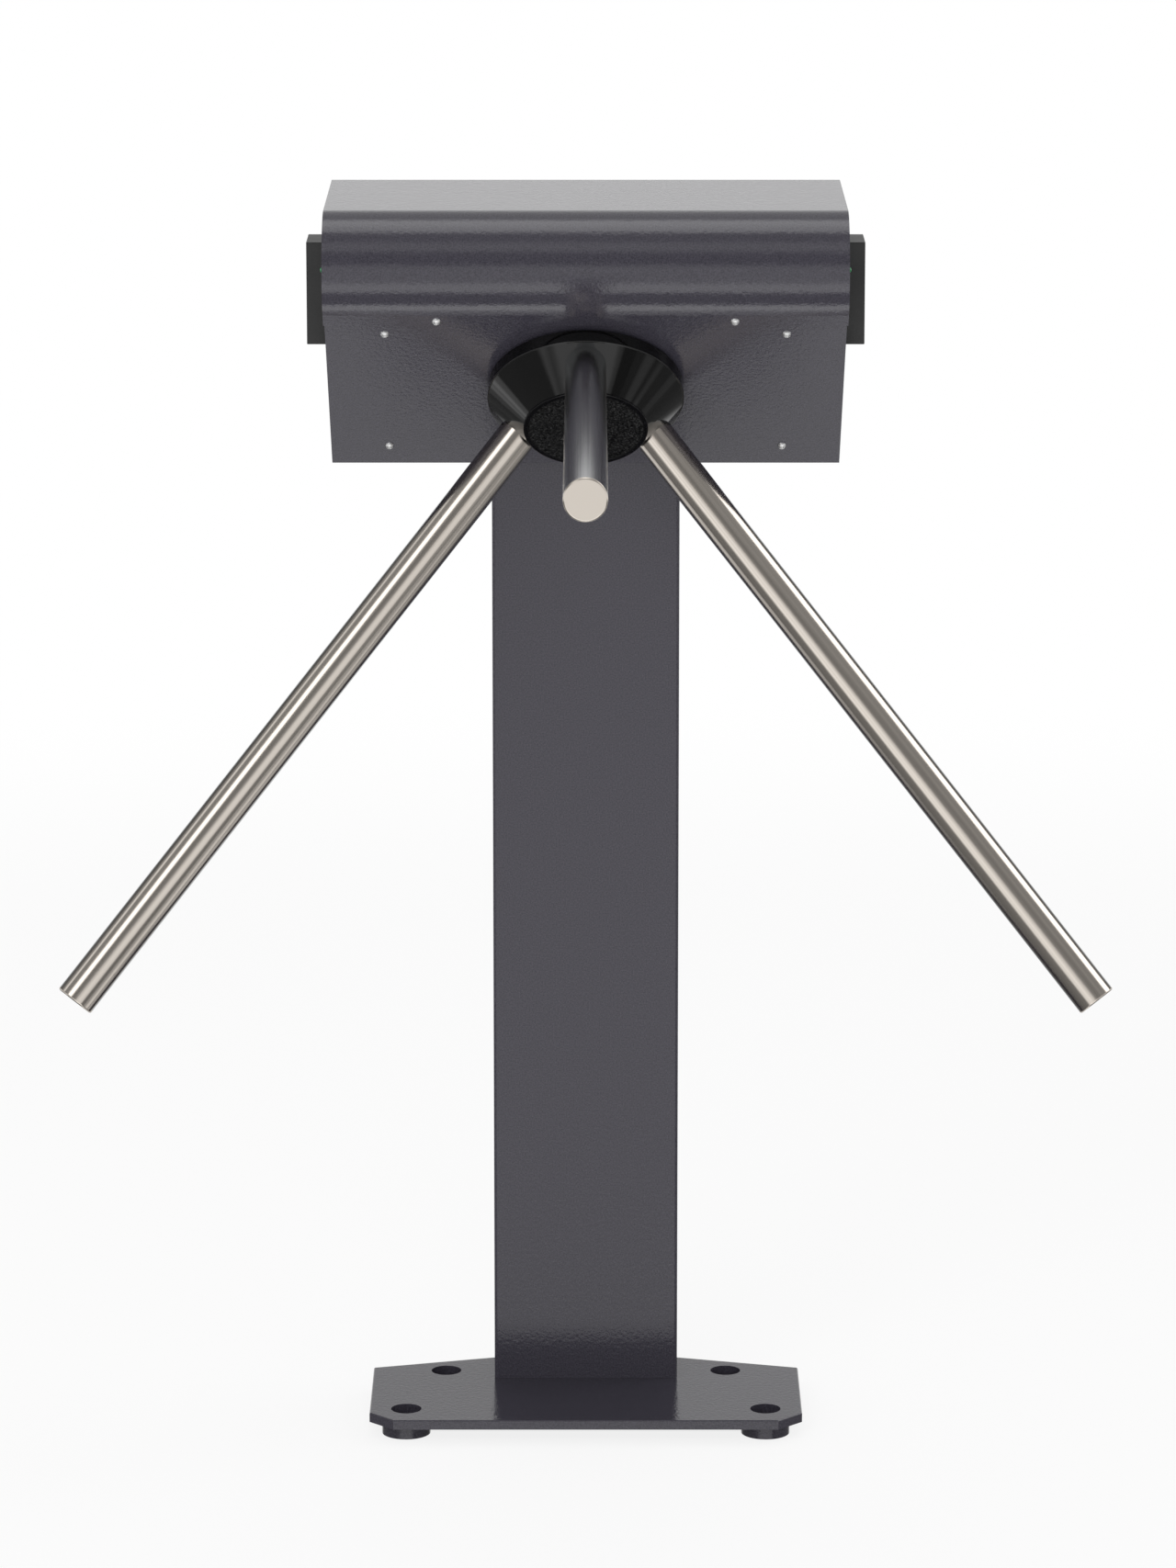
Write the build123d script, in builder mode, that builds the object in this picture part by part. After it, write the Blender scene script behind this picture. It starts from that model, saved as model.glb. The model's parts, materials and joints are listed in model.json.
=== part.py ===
from build123d import *
import os
from math import acos, cos, pi, radians, sin, sqrt, tan

# Tripod turnstile on a pillar, in millimetres. The origin lies on the floor midway between the
# two rear anchors. +Z is up, +X is to the right of a person who faces the hub, and -Y points
# into the passage.

os.makedirs("parts", exist_ok=True)

# Fits shared by all pieces
running_fit = 0.05  # radial play of a shaft or a pin that turns or slides
seat_fit = 0.02  # radial play of a located or pressed seat
free_gap = 0.5  # room between pieces that move past each other

# Floor anchors and base plate
anchor_bore_radius = 12.5
foot_radius = 20.0
foot_height = 12.0
front_anchor_span = 296.0
rear_anchor_span = 234.0
anchor_row_distance = 101.0
base_thickness = 8.0
base_width = 356.0
base_corner_cut = 20.0
base_front_margin = 30.5  # front anchors to the front edge
base_shoulder_margin = 7.6  # rear anchors to the point where the sides turn in
base_rear_margin = 40.0  # rear anchors to the rear edge
base_rear_width = 122.0
base_edge_round = 0.8

# Column, its top flange and the cable way through it
column_width = 152.4
column_depth = 55.0
column_wall = 2.0
column_fold_radius = 3.0
column_front_offset = 20.0  # front face ahead of the rear anchors
flange_thickness = 6.0
cable_radius = 15.0
grommet_wall = 3.0
grommet_lip = 4.0
grommet_lip_thickness = 2.0
flange_bolt_radius = 5.0
flange_bolt_head_radius = 8.0
flange_bolt_head_height = 6.4
flange_bolt_length = 16.0
flange_bolt_span_x = 112.0
flange_bolt_span_y = 30.0

# Head casing
head_top = 1019.3  # top of the cover over the floor
head_depth = 221.3  # top of the cover down to the underside of the pan
apex_drop = 119.6  # top of the cover down to the apex of the arms
head_back = 39.0  # rear face of the cover
head_width = 410.0
cover_overhang = 1.0  # cover past each end plate
cover_thickness = 1.2
cover_nose_radius = 46.0
cover_lip_length = 13.3  # straight run below the nose
cover_rear_drop = 20.0
panel_thickness = 1.5
panel_distance = 36.2  # outer face of the front panel, out from the apex of the arms
panel_overlap = 11.0  # panel under the cover's lip
chassis_thickness = 2.0
chassis_return = 18.0
end_plate_thickness = 2.0

# Casing screws, with domed heads and a cross recess
screw_radius = 2.0
screw_head_radius = 3.5
screw_head_height = 2.3
screw_recess_width = 1.0
screw_recess_depth = 1.2
screw_length = 12.0
panel_screw_half_span = 158.0
panel_screw_margin = 12.2  # upper screws below the cover's lip
panel_screw_foot = 24.6  # lower screws above the panel's foot
cover_screw_half_span = 117.0
cover_screw_margin = 6.0  # above the lip's lower edge

# Side readers and status lamps
reader_thickness = 16.3
reader_depth = 45.0
reader_height = 81.8
reader_drop = 30.7  # below the top of the cover
reader_front = 100.0  # front face ahead of the rear anchors
reader_round = 1.2
reader_edge = 0.4  # bevel round the outer face
window_margin = 6.0
window_thickness = 1.2
lamp_radius = 2.5
lamp_collar_radius = 3.4
lamp_collar_thickness = 1.0
lamp_proud = 4.3
lamp_forward = 130.0
lamp_drop = 48.3  # below the top of the cover

# Tripod: the axes of the three arms meet in one apex on the hub's axis
apex_forward = 75.7
arm_count = 3
arm_radius = 16.0
arm_wall = 2.0
arm_reach = 660.0  # apex to the end of an arm
arm_seat_distance = 89.45  # apex to the cone, along an arm
arm_socket_depth = 15.8
root_spigot_radius = 10.0
root_spigot_length = 25.0
root_plug_length = 36.0
end_plug_head = 3.0
end_plug_round = 1.5
end_plug_insert = 15.0
hub_rim_radius = 78.0
hub_rim_step = 1.0
hub_rim_gap = 2.0  # rim to the front panel
hub_boss_radius = 56.0
hub_boss_gap = 4.0  # boss to the edge of the panel's hole
hub_face_radius = 49.5
hub_pocket_radius = 30.0
hub_pocket_depth = 17.0
cap_thickness = 1.2
cap_rim_width = 4.0
cap_rim_height = 0.6
cap_spigot_length = 6.0
cap_spigot_wall = 2.0

# Shaft line, from the front panel inwards
standoff_length = 20.7
standoff_radius = 7.0
plate_thickness = 6.0
plate_margin = 10.0  # plate past the panel screws
housing_radius = 40.0
housing_nose = 3.0  # housing in front of the plate
housing_flange_radius = 62.0
housing_flange_thickness = 6.0
housing_bolt_count = 4
housing_bolt_circle = 51.0
housing_bolt_radius = 4.0
housing_bolt_head_radius = 6.5
housing_bolt_head_height = 4.4
housing_bore_radius = 22.0
front_bearing_bore = 15.0  # radius
front_bearing_rim = 31.0  # radius
front_bearing_width = 16.0
rear_bearing_bore = 12.5  # radius
rear_bearing_rim = 26.0  # radius
rear_bearing_width = 15.0
bearing_spacing = 25.0
ball_count = 9
ball_share = 0.6  # ball diameter over the height of the bearing's section
ring_share = 0.34  # ring thickness over the height of the bearing's section
cage_thickness = 1.6
cage_margin = 0.8
shaft_flange_radius = 20.0
shaft_flange_thickness = 5.0
shaft_tail_radius = 12.0
hub_bolt_radius = 6.0
hub_bolt_length = 24.0
hub_bolt_head_radius = 10.0
hub_bolt_head_height = 7.5
hub_washer_radius = 20.0
hub_washer_thickness = 3.0
shaft_hub_recess = 1.0  # shaft end below the floor of the hub's pocket

# Carrier plate on the rear of the housing
carrier_thickness = 4.0
carrier_spigot_radius = 32.0
carrier_spigot_proud = 2.0
carrier_half_width = 145.0
carrier_top = 68.0
carrier_bottom = -76.0
carrier_screw_count = 4
carrier_screw_circle = 36.2
carrier_screw_radius = 2.0
carrier_screw_head_radius = 3.3
carrier_screw_head_height = 2.5

# Damper gears
gear_module = 1.5
gear_teeth = 60
pinion_teeth = 15
pressure_angle = 25.0
flank_play = 0.1  # taken off each flank
gear_boss_length = 2.0
gear_width = 6.0
damper_gap = 4.25  # damper to the bearing housing
damper_length = 20.0
damper_shaft_radius = 4.0
damper_ear_width = 46.0
damper_ear_height = 14.0
damper_ear_thickness = 2.5

# Index cam and pawls
cam_boss_radius = 20.0
cam_boss_length = 2.0
cam_width = 8.0
cam_root_radius = 28.0
lug_radius = 40.0
lug_width = 8.0
pawl_thickness = 6.0
pawl_bite = 7.0  # how far an engaged nose reaches inside the lug circle
pawl_nose_width = 7.0
pawl_shank_gap = 1.3  # engaged shank outside the lug circle
pawl_shank_width = 8.0
pawl_swing = 10.0  # degrees from free to engaged
pivot_out = 10.0  # pivot outside the lug circle
pivot_up = 52.0  # pivot from the lug, along its flank's normal
pivot_radius = 4.0
pivot_boss_radius = 9.0
pivot_shoulder_radius = 6.5
pivot_head_height = 2.0
pawl_arm = 28.0  # pivot to the plunger's cross pin
pawl_eye_radius = 6.0
cross_pin_radius = 2.0
cross_pin_play = 0.15
cross_pin_slot = 2.0

# Solenoids
plunger_radius = 6.0
plunger_nose = 6.0  # plunger past its cross pin
plunger_fork_depth = 9.0
plunger_collar_offset = 15.0  # cross pin to the collar
plunger_collar_radius = 9.0
plunger_collar_thickness = 1.5
spring_length = 10.5
spring_wire_radius = 0.6
spring_coil_radius = 7.4
spring_turns = 4
spring_seat_gap = 0.3
coil_radius = 13.0
coil_length = 40.0
coil_tail = 6.0  # plunger's end to the rear cheek when pulled in
frame_thickness = 2.5
frame_gap = 0.5  # coil to the frame's base
frame_half_height = 14.0

# Detent that brings the arms back to rest
detent_boss_length = 5.0
detent_width = 8.0
detent_radius = 40.0
detent_notch_radius = 5.0
leaf_thickness = 0.8
leaf_width = 6.0
leaf_height = 52.0
leaf_bend_radius = 3.0
leaf_bend_out = 14.0
leaf_tail_out = 8.0
leaf_tail_rise = 10.0
post_inner = 38.0
post_width = 14.0
post_below = 5.0
post_above = 14.0
post_past_cam = 1.0
nut_across_flats = 32.0
nut_height = 8.0
thread_end = 2.0

# Gussets between the mechanism plate and the pan
gusset_thickness = 5.0
gusset_half_span = 150.0
gusset_upper = 60.0
gusset_knee_up = 10.0
gusset_knee_back = 40.0
gusset_rear_margin = 6.0

# Control board on the back wall
board_width = 140.0
board_height = 90.0
board_thickness = 1.6
board_rise = 48.0  # above the underside of the pan
board_standoff_length = 8.0
board_standoff_radius = 4.0
board_hole_margin = 7.0
terminal_width = 100.0
terminal_height = 12.0
terminal_depth = 11.0
terminal_margin = 8.0
relay_size = 16.0
relay_pitch = 24.0
relay_count = 4

root2 = sqrt(2)

# Faces along the hub's axis, counted outwards from the apex
panel_inner = panel_distance - panel_thickness
lip_outer = panel_distance + cover_thickness
plate_front = panel_inner - standoff_length
plate_rear = plate_front - plate_thickness
housing_front = plate_front + housing_nose
front_bearing_rear = housing_front - front_bearing_width
rear_bearing_front = front_bearing_rear - bearing_spacing
housing_rear = rear_bearing_front - rear_bearing_width
carrier_rear = housing_rear + carrier_spigot_proud
carrier_front = carrier_rear + carrier_thickness
gear_front = housing_rear - gear_boss_length
gear_rear = gear_front - gear_width
cam_front = gear_rear - cam_boss_length
cam_rear = cam_front - cam_width
cam_middle = (cam_front + cam_rear) / 2
detent_front = cam_rear - detent_boss_length
detent_rear = detent_front - detent_width
nut_rear = detent_rear - nut_height
shaft_rear = nut_rear - thread_end
hub_rear = housing_front + shaft_flange_thickness
rim_rear = panel_distance + hub_rim_gap
cone_sum = root2 * arm_seat_distance
cone_foot_radius = hub_rim_radius - hub_rim_step
rim_front = cone_sum - cone_foot_radius
hub_face = cone_sum - hub_face_radius
pocket_floor = hub_face - hub_pocket_depth
shaft_front = pocket_floor - shaft_hub_recess

# Heights and depths
plate_underside = foot_height
plate_top = foot_height + base_thickness
head_floor = head_top - head_depth
pan_top = head_floor + chassis_thickness
apex_height = head_top - apex_drop
lamp_height = head_top - lamp_drop
column_front = -column_front_offset
column_back = column_front + column_depth
column_middle = (column_front + column_back) / 2
cover_inner_top = head_top - cover_thickness
wall_outer = head_back - cover_thickness
wall_inner = wall_outer - chassis_thickness
end_plate_outer = head_width / 2
end_plate_inner = end_plate_outer - end_plate_thickness

# Hub frame: x to the right, y up along the front panel, z out along the hub's axis
apex = (0, -apex_forward, apex_height)
hub_frame = Plane(origin=apex, x_dir=(1, 0, 0), z_dir=(0, -1, -1))
turning_frame = Plane(origin=apex, x_dir=(1, 0, 0), z_dir=(0, 1, -1))
hub_axis = Axis(apex, (0, -1, -1))
arm_angles = [90 + 360 / arm_count * index for index in range(arm_count)]


def save(part, name):
    """Label a finished piece and write it to its own file."""
    part.label = name
    export_step(part, f"parts/{name}.step")


def at(distance):
    """Plane across the hub's axis at a distance out from the apex."""
    return hub_frame.offset(distance)


def side_point(up, out):
    """Side-view point (Y, Z) from a height up the panel and a distance out along the axis."""
    return (-apex_forward - (up + out) / root2, apex_height + (up - out) / root2)


def up_panel(height, out):
    """Place up the panel where the plane at a distance out crosses a height over the floor."""
    return (height - apex_height) * root2 + out


def arm_frame(angle, distance):
    """Plane across an arm at a distance from the apex, its z along the arm."""
    spread = hub_frame.x_dir * cos(radians(angle)) + hub_frame.y_dir * sin(radians(angle))
    along = (hub_frame.z_dir + spread) / root2
    across = (hub_frame.z_dir - spread) / root2
    return Plane(origin=hub_frame.origin + along * distance, x_dir=across, z_dir=along)


def turned_about(point, centre, degrees):
    """A flat point turned about a centre."""
    offset_x = point[0] - centre[0]
    offset_y = point[1] - centre[1]
    cosine = cos(radians(degrees))
    sine = sin(radians(degrees))
    return (
        centre[0] + offset_x * cosine - offset_y * sine,
        centre[1] + offset_x * sine + offset_y * cosine,
    )


# Base plate
base_front = -anchor_row_distance - base_front_margin
half_base = base_width / 2
front_anchors = [(side * front_anchor_span / 2, -anchor_row_distance) for side in (-1, 1)]
rear_anchors = [(side * rear_anchor_span / 2, 0) for side in (-1, 1)]
base_outline = [
    (-half_base + base_corner_cut, base_front),
    (half_base - base_corner_cut, base_front),
    (half_base, base_front + base_corner_cut),
    (half_base, base_shoulder_margin),
    (base_rear_width / 2, base_rear_margin),
    (-base_rear_width / 2, base_rear_margin),
    (-half_base, base_shoulder_margin),
    (-half_base, base_front + base_corner_cut),
]
grommet_radius = cable_radius + grommet_wall
with BuildPart() as base_plate:
    with BuildSketch(Plane.XY.offset(plate_underside)):
        Polygon(*base_outline, align=None)
        with Locations(*front_anchors, *rear_anchors):
            Circle(anchor_bore_radius, mode=Mode.SUBTRACT)
        with Locations((0, column_middle)):
            Circle(grommet_radius + seat_fit, mode=Mode.SUBTRACT)
    extrude(amount=base_thickness)
    rim_edges = base_plate.edges().group_by(Axis.Z)[-1].filter_by(GeomType.LINE)
    chamfer(rim_edges, base_edge_round)
save(base_plate.part, "base_plate")

# Anchor sleeves that the plate stands on
with BuildPart() as anchor_feet:
    with BuildSketch():
        with Locations(*front_anchors, *rear_anchors):
            Circle(foot_radius)
            Circle(anchor_bore_radius, mode=Mode.SUBTRACT)
    extrude(amount=foot_height)
save(anchor_feet.part, "anchor_feet")

# Column folded from sheet
with BuildPart() as column:
    with BuildSketch(Plane.XY.offset(plate_top)):
        with Locations((0, column_middle)):
            RectangleRounded(column_width, column_depth, column_fold_radius)
            RectangleRounded(
                column_width - 2 * column_wall,
                column_depth - 2 * column_wall,
                column_fold_radius - column_wall,
                mode=Mode.SUBTRACT,
            )
    extrude(amount=head_floor - plate_top)
save(column.part, "column")

# Flange welded inside the column's top
flange_bottom = head_floor - flange_thickness
with BuildPart() as column_flange:
    with BuildSketch(Plane.XY.offset(flange_bottom)):
        with Locations((0, column_middle)):
            RectangleRounded(
                column_width - 2 * column_wall - 2 * seat_fit,
                column_depth - 2 * column_wall - 2 * seat_fit,
                column_fold_radius - column_wall,
            )
            Circle(cable_radius, mode=Mode.SUBTRACT)
            with GridLocations(flange_bolt_span_x, flange_bolt_span_y, 2, 2):
                Circle(flange_bolt_radius + seat_fit, mode=Mode.SUBTRACT)
    extrude(amount=flange_thickness)
save(column_flange.part, "column_flange")

# Grommet that lines the cable hole in the base plate
grommet_lip_radius = grommet_radius + grommet_lip
with BuildPart() as cable_grommet:
    with BuildSketch(Plane.XY.offset(plate_underside)):
        with Locations((0, column_middle)):
            Circle(grommet_radius)
            Circle(cable_radius, mode=Mode.SUBTRACT)
    extrude(amount=base_thickness)
    with BuildSketch(Plane.XY.offset(plate_top)):
        with Locations((0, column_middle)):
            Circle(grommet_lip_radius)
            Circle(cable_radius, mode=Mode.SUBTRACT)
    extrude(amount=grommet_lip_thickness)
save(cable_grommet.part, "cable_grommet")

# Chassis: pan, back wall and top return bent from one sheet
pan_front = side_point(up_panel(head_floor, panel_inner), panel_inner)[0]
chassis_outline = [
    (pan_front, head_floor),
    (wall_outer, head_floor),
    (wall_outer, cover_inner_top),
    (wall_inner - chassis_return, cover_inner_top),
    (wall_inner - chassis_return, cover_inner_top - chassis_thickness),
    (wall_inner, cover_inner_top - chassis_thickness),
    (wall_inner, pan_top),
    (pan_front - chassis_thickness, pan_top),
]
with BuildPart() as head_chassis:
    with BuildSketch(Plane.YZ.offset(-end_plate_inner)):
        Polygon(*chassis_outline, align=None)
    extrude(amount=2 * end_plate_inner)
    with BuildSketch(Plane.XY.offset(head_floor)):
        with Locations((0, column_middle)):
            Circle(cable_radius)
            with GridLocations(flange_bolt_span_x, flange_bolt_span_y, 2, 2):
                Circle(flange_bolt_radius + seat_fit)
    extrude(amount=chassis_thickness, mode=Mode.SUBTRACT)
save(head_chassis.part, "head_chassis")

# Bolts that hold the head on the column's flange
with BuildPart() as flange_bolts:
    with BuildSketch(Plane.XY.offset(pan_top - flange_bolt_length)):
        with Locations((0, column_middle)):
            with GridLocations(flange_bolt_span_x, flange_bolt_span_y, 2, 2):
                Circle(flange_bolt_radius)
    extrude(amount=flange_bolt_length)
    with BuildSketch(Plane.XY.offset(pan_top)):
        with Locations((0, column_middle)):
            with GridLocations(flange_bolt_span_x, flange_bolt_span_y, 2, 2):
                RegularPolygon(flange_bolt_head_radius, 6)
    extrude(amount=flange_bolt_head_height)
save(flange_bolts.part, "flange_bolts")

# Nose of the cover: one arc from the flat top into the plane of the front panel
nose_height = head_top - cover_nose_radius
nose_forward = -apex_forward + apex_height - root2 * lip_outer + root2 * cover_nose_radius - nose_height
inner_nose_radius = cover_nose_radius - cover_thickness
nose_up = up_panel(nose_height - cover_nose_radius / root2, lip_outer)
lip_end = nose_up - cover_lip_length
panel_top = lip_end + panel_overlap


def nose_point(radius, degrees):
    """Point of the nose seen from the side, by its angle from straight up."""
    turn = radians(degrees)
    return (nose_forward - radius * sin(turn), nose_height + radius * cos(turn))


# End plates
panel_foot = up_panel(head_floor, panel_distance)
plate_foot = up_panel(head_floor, panel_inner)
reader_middle = -reader_front + reader_depth / 2
reader_centre_height = head_top - reader_drop - reader_height / 2
for side_name, side in (("left", -1), ("right", 1)):
    with BuildPart() as end_plate:
        with BuildSketch(Plane.YZ.offset(side * end_plate_inner)):
            with BuildLine():
                arc = ThreePointArc(
                    nose_point(inner_nose_radius, 0),
                    nose_point(inner_nose_radius, 67.5),
                    nose_point(inner_nose_radius, 135),
                )
                Polyline(
                    arc @ 1,
                    side_point(panel_top, panel_distance),
                    side_point(panel_top, panel_inner),
                    side_point(plate_foot, panel_inner),
                    (wall_outer, head_floor),
                    (wall_outer, cover_inner_top),
                    arc @ 0,
                )
            make_face()
            with Locations((-lamp_forward, lamp_height)):
                Circle(lamp_radius + seat_fit, mode=Mode.SUBTRACT)
        extrude(amount=side * end_plate_thickness)
    save(end_plate.part, f"{side_name}_end_plate")

# Front panel with the hole for the hub's boss
panel_screw_lower = panel_foot + panel_screw_foot
panel_screw_upper = lip_end - panel_screw_margin
panel_screw_points = [
    (side * panel_screw_half_span, height)
    for side in (-1, 1)
    for height in (panel_screw_lower, panel_screw_upper)
]
cover_screw_height = lip_end + cover_screw_margin
cover_screw_points = [(side * cover_screw_half_span, cover_screw_height) for side in (-1, 1)]
with BuildPart() as front_panel:
    with BuildSketch(at(panel_inner)):
        with Locations((0, (panel_foot + panel_top) / 2)):
            Rectangle(head_width, panel_top - panel_foot)
        Circle(hub_boss_radius + hub_boss_gap, mode=Mode.SUBTRACT)
        with Locations(*panel_screw_points, *cover_screw_points):
            Circle(screw_radius + seat_fit, mode=Mode.SUBTRACT)
    extrude(amount=panel_thickness)
save(front_panel.part, "front_panel")

# Top cover: rear drop, flat top, nose and lip bent from one sheet
half_cover = end_plate_outer + cover_overhang
with BuildPart() as top_cover:
    with BuildSketch(Plane.YZ.offset(-half_cover)):
        with BuildLine():
            outer_arc = ThreePointArc(
                nose_point(cover_nose_radius, 0),
                nose_point(cover_nose_radius, 67.5),
                nose_point(cover_nose_radius, 135),
            )
            inner_arc = ThreePointArc(
                nose_point(inner_nose_radius, 135),
                nose_point(inner_nose_radius, 67.5),
                nose_point(inner_nose_radius, 0),
            )
            Polyline(
                outer_arc @ 1,
                side_point(lip_end, lip_outer),
                side_point(lip_end, panel_distance),
                inner_arc @ 0,
            )
            Polyline(
                inner_arc @ 1,
                (wall_outer, cover_inner_top),
                (wall_outer, head_top - cover_rear_drop),
                (head_back, head_top - cover_rear_drop),
                (head_back, head_top),
                outer_arc @ 0,
            )
        make_face()
    extrude(amount=2 * half_cover)
    with BuildSketch(at(panel_distance)):
        with Locations(*cover_screw_points):
            Circle(screw_radius + seat_fit)
    extrude(amount=cover_thickness, mode=Mode.SUBTRACT)
save(top_cover.part, "top_cover")


def casing_screw(length):
    """Domed screw with a cross recess, its head's underside on the plane z = 0."""
    crown_radius = (screw_head_radius**2 + screw_head_height**2) / (2 * screw_head_height)
    with BuildPart() as screw:
        with BuildSketch(Plane.XZ):
            with BuildLine():
                dome = RadiusArc((screw_head_radius, 0), (0, screw_head_height), -crown_radius)
                Polyline(
                    dome @ 1,
                    (0, -length),
                    (screw_radius, -length),
                    (screw_radius, 0),
                    dome @ 0,
                )
            make_face()
        revolve(axis=Axis.Z)
        with BuildSketch(Plane.XY.offset(screw_head_height - screw_recess_depth)):
            Rectangle(screw_head_radius, screw_recess_width)
            Rectangle(screw_recess_width, screw_head_radius)
        extrude(amount=screw_recess_depth, mode=Mode.SUBTRACT)
    return screw.part


with BuildPart(at(panel_distance)) as panel_screws:
    with Locations(*panel_screw_points):
        add(casing_screw(screw_length))
save(panel_screws.part, "panel_screws")

with BuildPart(at(lip_outer)) as cover_screws:
    with Locations(*cover_screw_points):
        add(casing_screw(screw_length))
save(cover_screws.part, "cover_screws")

# Side readers, their windows and the status lamps
for side_name, side in (("left", -1), ("right", 1)):
    outward = Plane(
        origin=(side * end_plate_outer, reader_middle, reader_centre_height),
        x_dir=(0, 1, 0),
        z_dir=(side, 0, 0),
    )
    window_floor = reader_thickness - window_thickness
    with BuildPart() as reader_case:
        with BuildSketch(outward):
            RectangleRounded(reader_depth, reader_height, reader_round)
        extrude(amount=reader_thickness)
        face_edges = reader_case.faces().sort_by(Axis.X)[-1 if side > 0 else 0].edges()
        chamfer(face_edges, reader_edge)
        with BuildSketch(outward.offset(window_floor)):
            RectangleRounded(
                reader_depth - 2 * window_margin, reader_height - 2 * window_margin, reader_round
            )
        extrude(amount=window_thickness, mode=Mode.SUBTRACT)
    save(reader_case.part, f"{side_name}_reader_case")

    with BuildPart() as reader_window:
        with BuildSketch(outward.offset(window_floor)):
            RectangleRounded(
                reader_depth - 2 * window_margin - 2 * seat_fit,
                reader_height - 2 * window_margin - 2 * seat_fit,
                reader_round,
            )
        extrude(amount=window_thickness)
    save(reader_window.part, f"{side_name}_reader_window")

    lamp_frame = Plane(
        origin=(side * end_plate_outer, -lamp_forward, lamp_height),
        x_dir=(0, 1, 0),
        z_dir=(side, 0, 0),
    )
    lamp_shoulder = lamp_proud - lamp_radius
    with BuildPart() as status_lamp:
        with BuildSketch(lamp_frame.offset(-2 * end_plate_thickness)):
            Circle(lamp_radius)
        extrude(amount=2 * end_plate_thickness + lamp_shoulder)
        with BuildSketch(lamp_frame):
            Circle(lamp_collar_radius)
        extrude(amount=lamp_collar_thickness)
        with Locations(lamp_frame.offset(lamp_shoulder)):
            Sphere(lamp_radius)
    save(status_lamp.part, f"{side_name}_status_lamp")

# Mechanism plate behind the front panel
plate_half_width = panel_screw_half_span + plate_margin
plate_low = panel_screw_lower - plate_margin
plate_high = panel_screw_upper + plate_margin
with BuildPart() as mechanism_plate:
    with BuildSketch(at(plate_rear)):
        with Locations((0, (plate_low + plate_high) / 2)):
            Rectangle(2 * plate_half_width, plate_high - plate_low)
        Circle(housing_radius + seat_fit, mode=Mode.SUBTRACT)
        with PolarLocations(housing_bolt_circle, housing_bolt_count, start_angle=45):
            Circle(housing_bolt_radius + seat_fit, mode=Mode.SUBTRACT)
    extrude(amount=plate_thickness)
save(mechanism_plate.part, "mechanism_plate")

# Standoffs that the front panel is screwed to
with BuildPart() as panel_standoffs:
    with BuildSketch(at(plate_front)):
        with Locations(*panel_screw_points):
            Circle(standoff_radius)
            Circle(screw_radius + seat_fit, mode=Mode.SUBTRACT)
    extrude(amount=standoff_length)
save(panel_standoffs.part, "panel_standoffs")

# Gussets that carry the mechanism plate on the pan
gusset_foot = side_point(plate_low, plate_rear)
gusset_outline = [
    gusset_foot,
    side_point(gusset_upper, plate_rear),
    side_point(gusset_knee_up, -gusset_knee_back),
    (wall_inner - gusset_rear_margin, pan_top),
    (gusset_foot[0], pan_top),
]
with BuildPart() as plate_gussets:
    for side in (-1, 1):
        with BuildSketch(Plane.YZ.offset(side * gusset_half_span - gusset_thickness / 2)):
            Polygon(*gusset_outline, align=None)
        extrude(amount=gusset_thickness)
save(plate_gussets.part, "plate_gussets")

# Bearing housing, turned, with a flange behind the mechanism plate
housing_flange_rear = plate_rear - housing_flange_thickness
front_seat = front_bearing_rim + seat_fit
rear_seat = rear_bearing_rim + seat_fit
housing_profile = [
    (housing_bore_radius, front_bearing_rear),
    (front_seat, front_bearing_rear),
    (front_seat, housing_front),
    (housing_radius, housing_front),
    (housing_radius, plate_rear),
    (housing_flange_radius, plate_rear),
    (housing_flange_radius, housing_flange_rear),
    (housing_radius, housing_flange_rear),
    (housing_radius, carrier_front),
    (carrier_spigot_radius, carrier_front),
    (carrier_spigot_radius, housing_rear),
    (rear_seat, housing_rear),
    (rear_seat, rear_bearing_front),
    (housing_bore_radius, rear_bearing_front),
]
with BuildPart() as bearing_housing:
    with BuildSketch(turning_frame):
        Polygon(*housing_profile, align=None)
    revolve(axis=hub_axis)
    with BuildSketch(at(housing_flange_rear)):
        with PolarLocations(housing_bolt_circle, housing_bolt_count, start_angle=45):
            Circle(housing_bolt_radius + seat_fit)
    extrude(amount=housing_flange_thickness, mode=Mode.SUBTRACT)
    with BuildSketch(at(carrier_front)):
        with PolarLocations(carrier_screw_circle, carrier_screw_count, start_angle=45):
            Circle(carrier_screw_radius + seat_fit)
    extrude(amount=carrier_thickness, mode=Mode.SUBTRACT)
save(bearing_housing.part, "bearing_housing")

# Bolts through the mechanism plate into the housing's flange
with BuildPart() as housing_bolts:
    with BuildSketch(at(housing_flange_rear)):
        with PolarLocations(housing_bolt_circle, housing_bolt_count, start_angle=45):
            Circle(housing_bolt_radius)
    extrude(amount=housing_flange_thickness + plate_thickness)
    with BuildSketch(at(plate_front)):
        with PolarLocations(housing_bolt_circle, housing_bolt_count, start_angle=45):
            Circle(housing_bolt_head_radius)
    extrude(amount=housing_bolt_head_height)
save(housing_bolts.part, "housing_bolts")

# Carrier plate, clamped on the housing's rear
carrier_height = carrier_top - carrier_bottom
gear_distance = gear_module * (gear_teeth + pinion_teeth) / 2
lug_flank = lug_width / 2


def lug_point(side, out, along):
    """Point seen from the front, out along a lower lug and along its flank's normal."""
    lug = radians(arm_angles[0] + 240)
    flat_x = out * cos(lug) - along * sin(lug)
    flat_y = out * sin(lug) + along * cos(lug)
    return (side * flat_x, flat_y)


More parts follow.
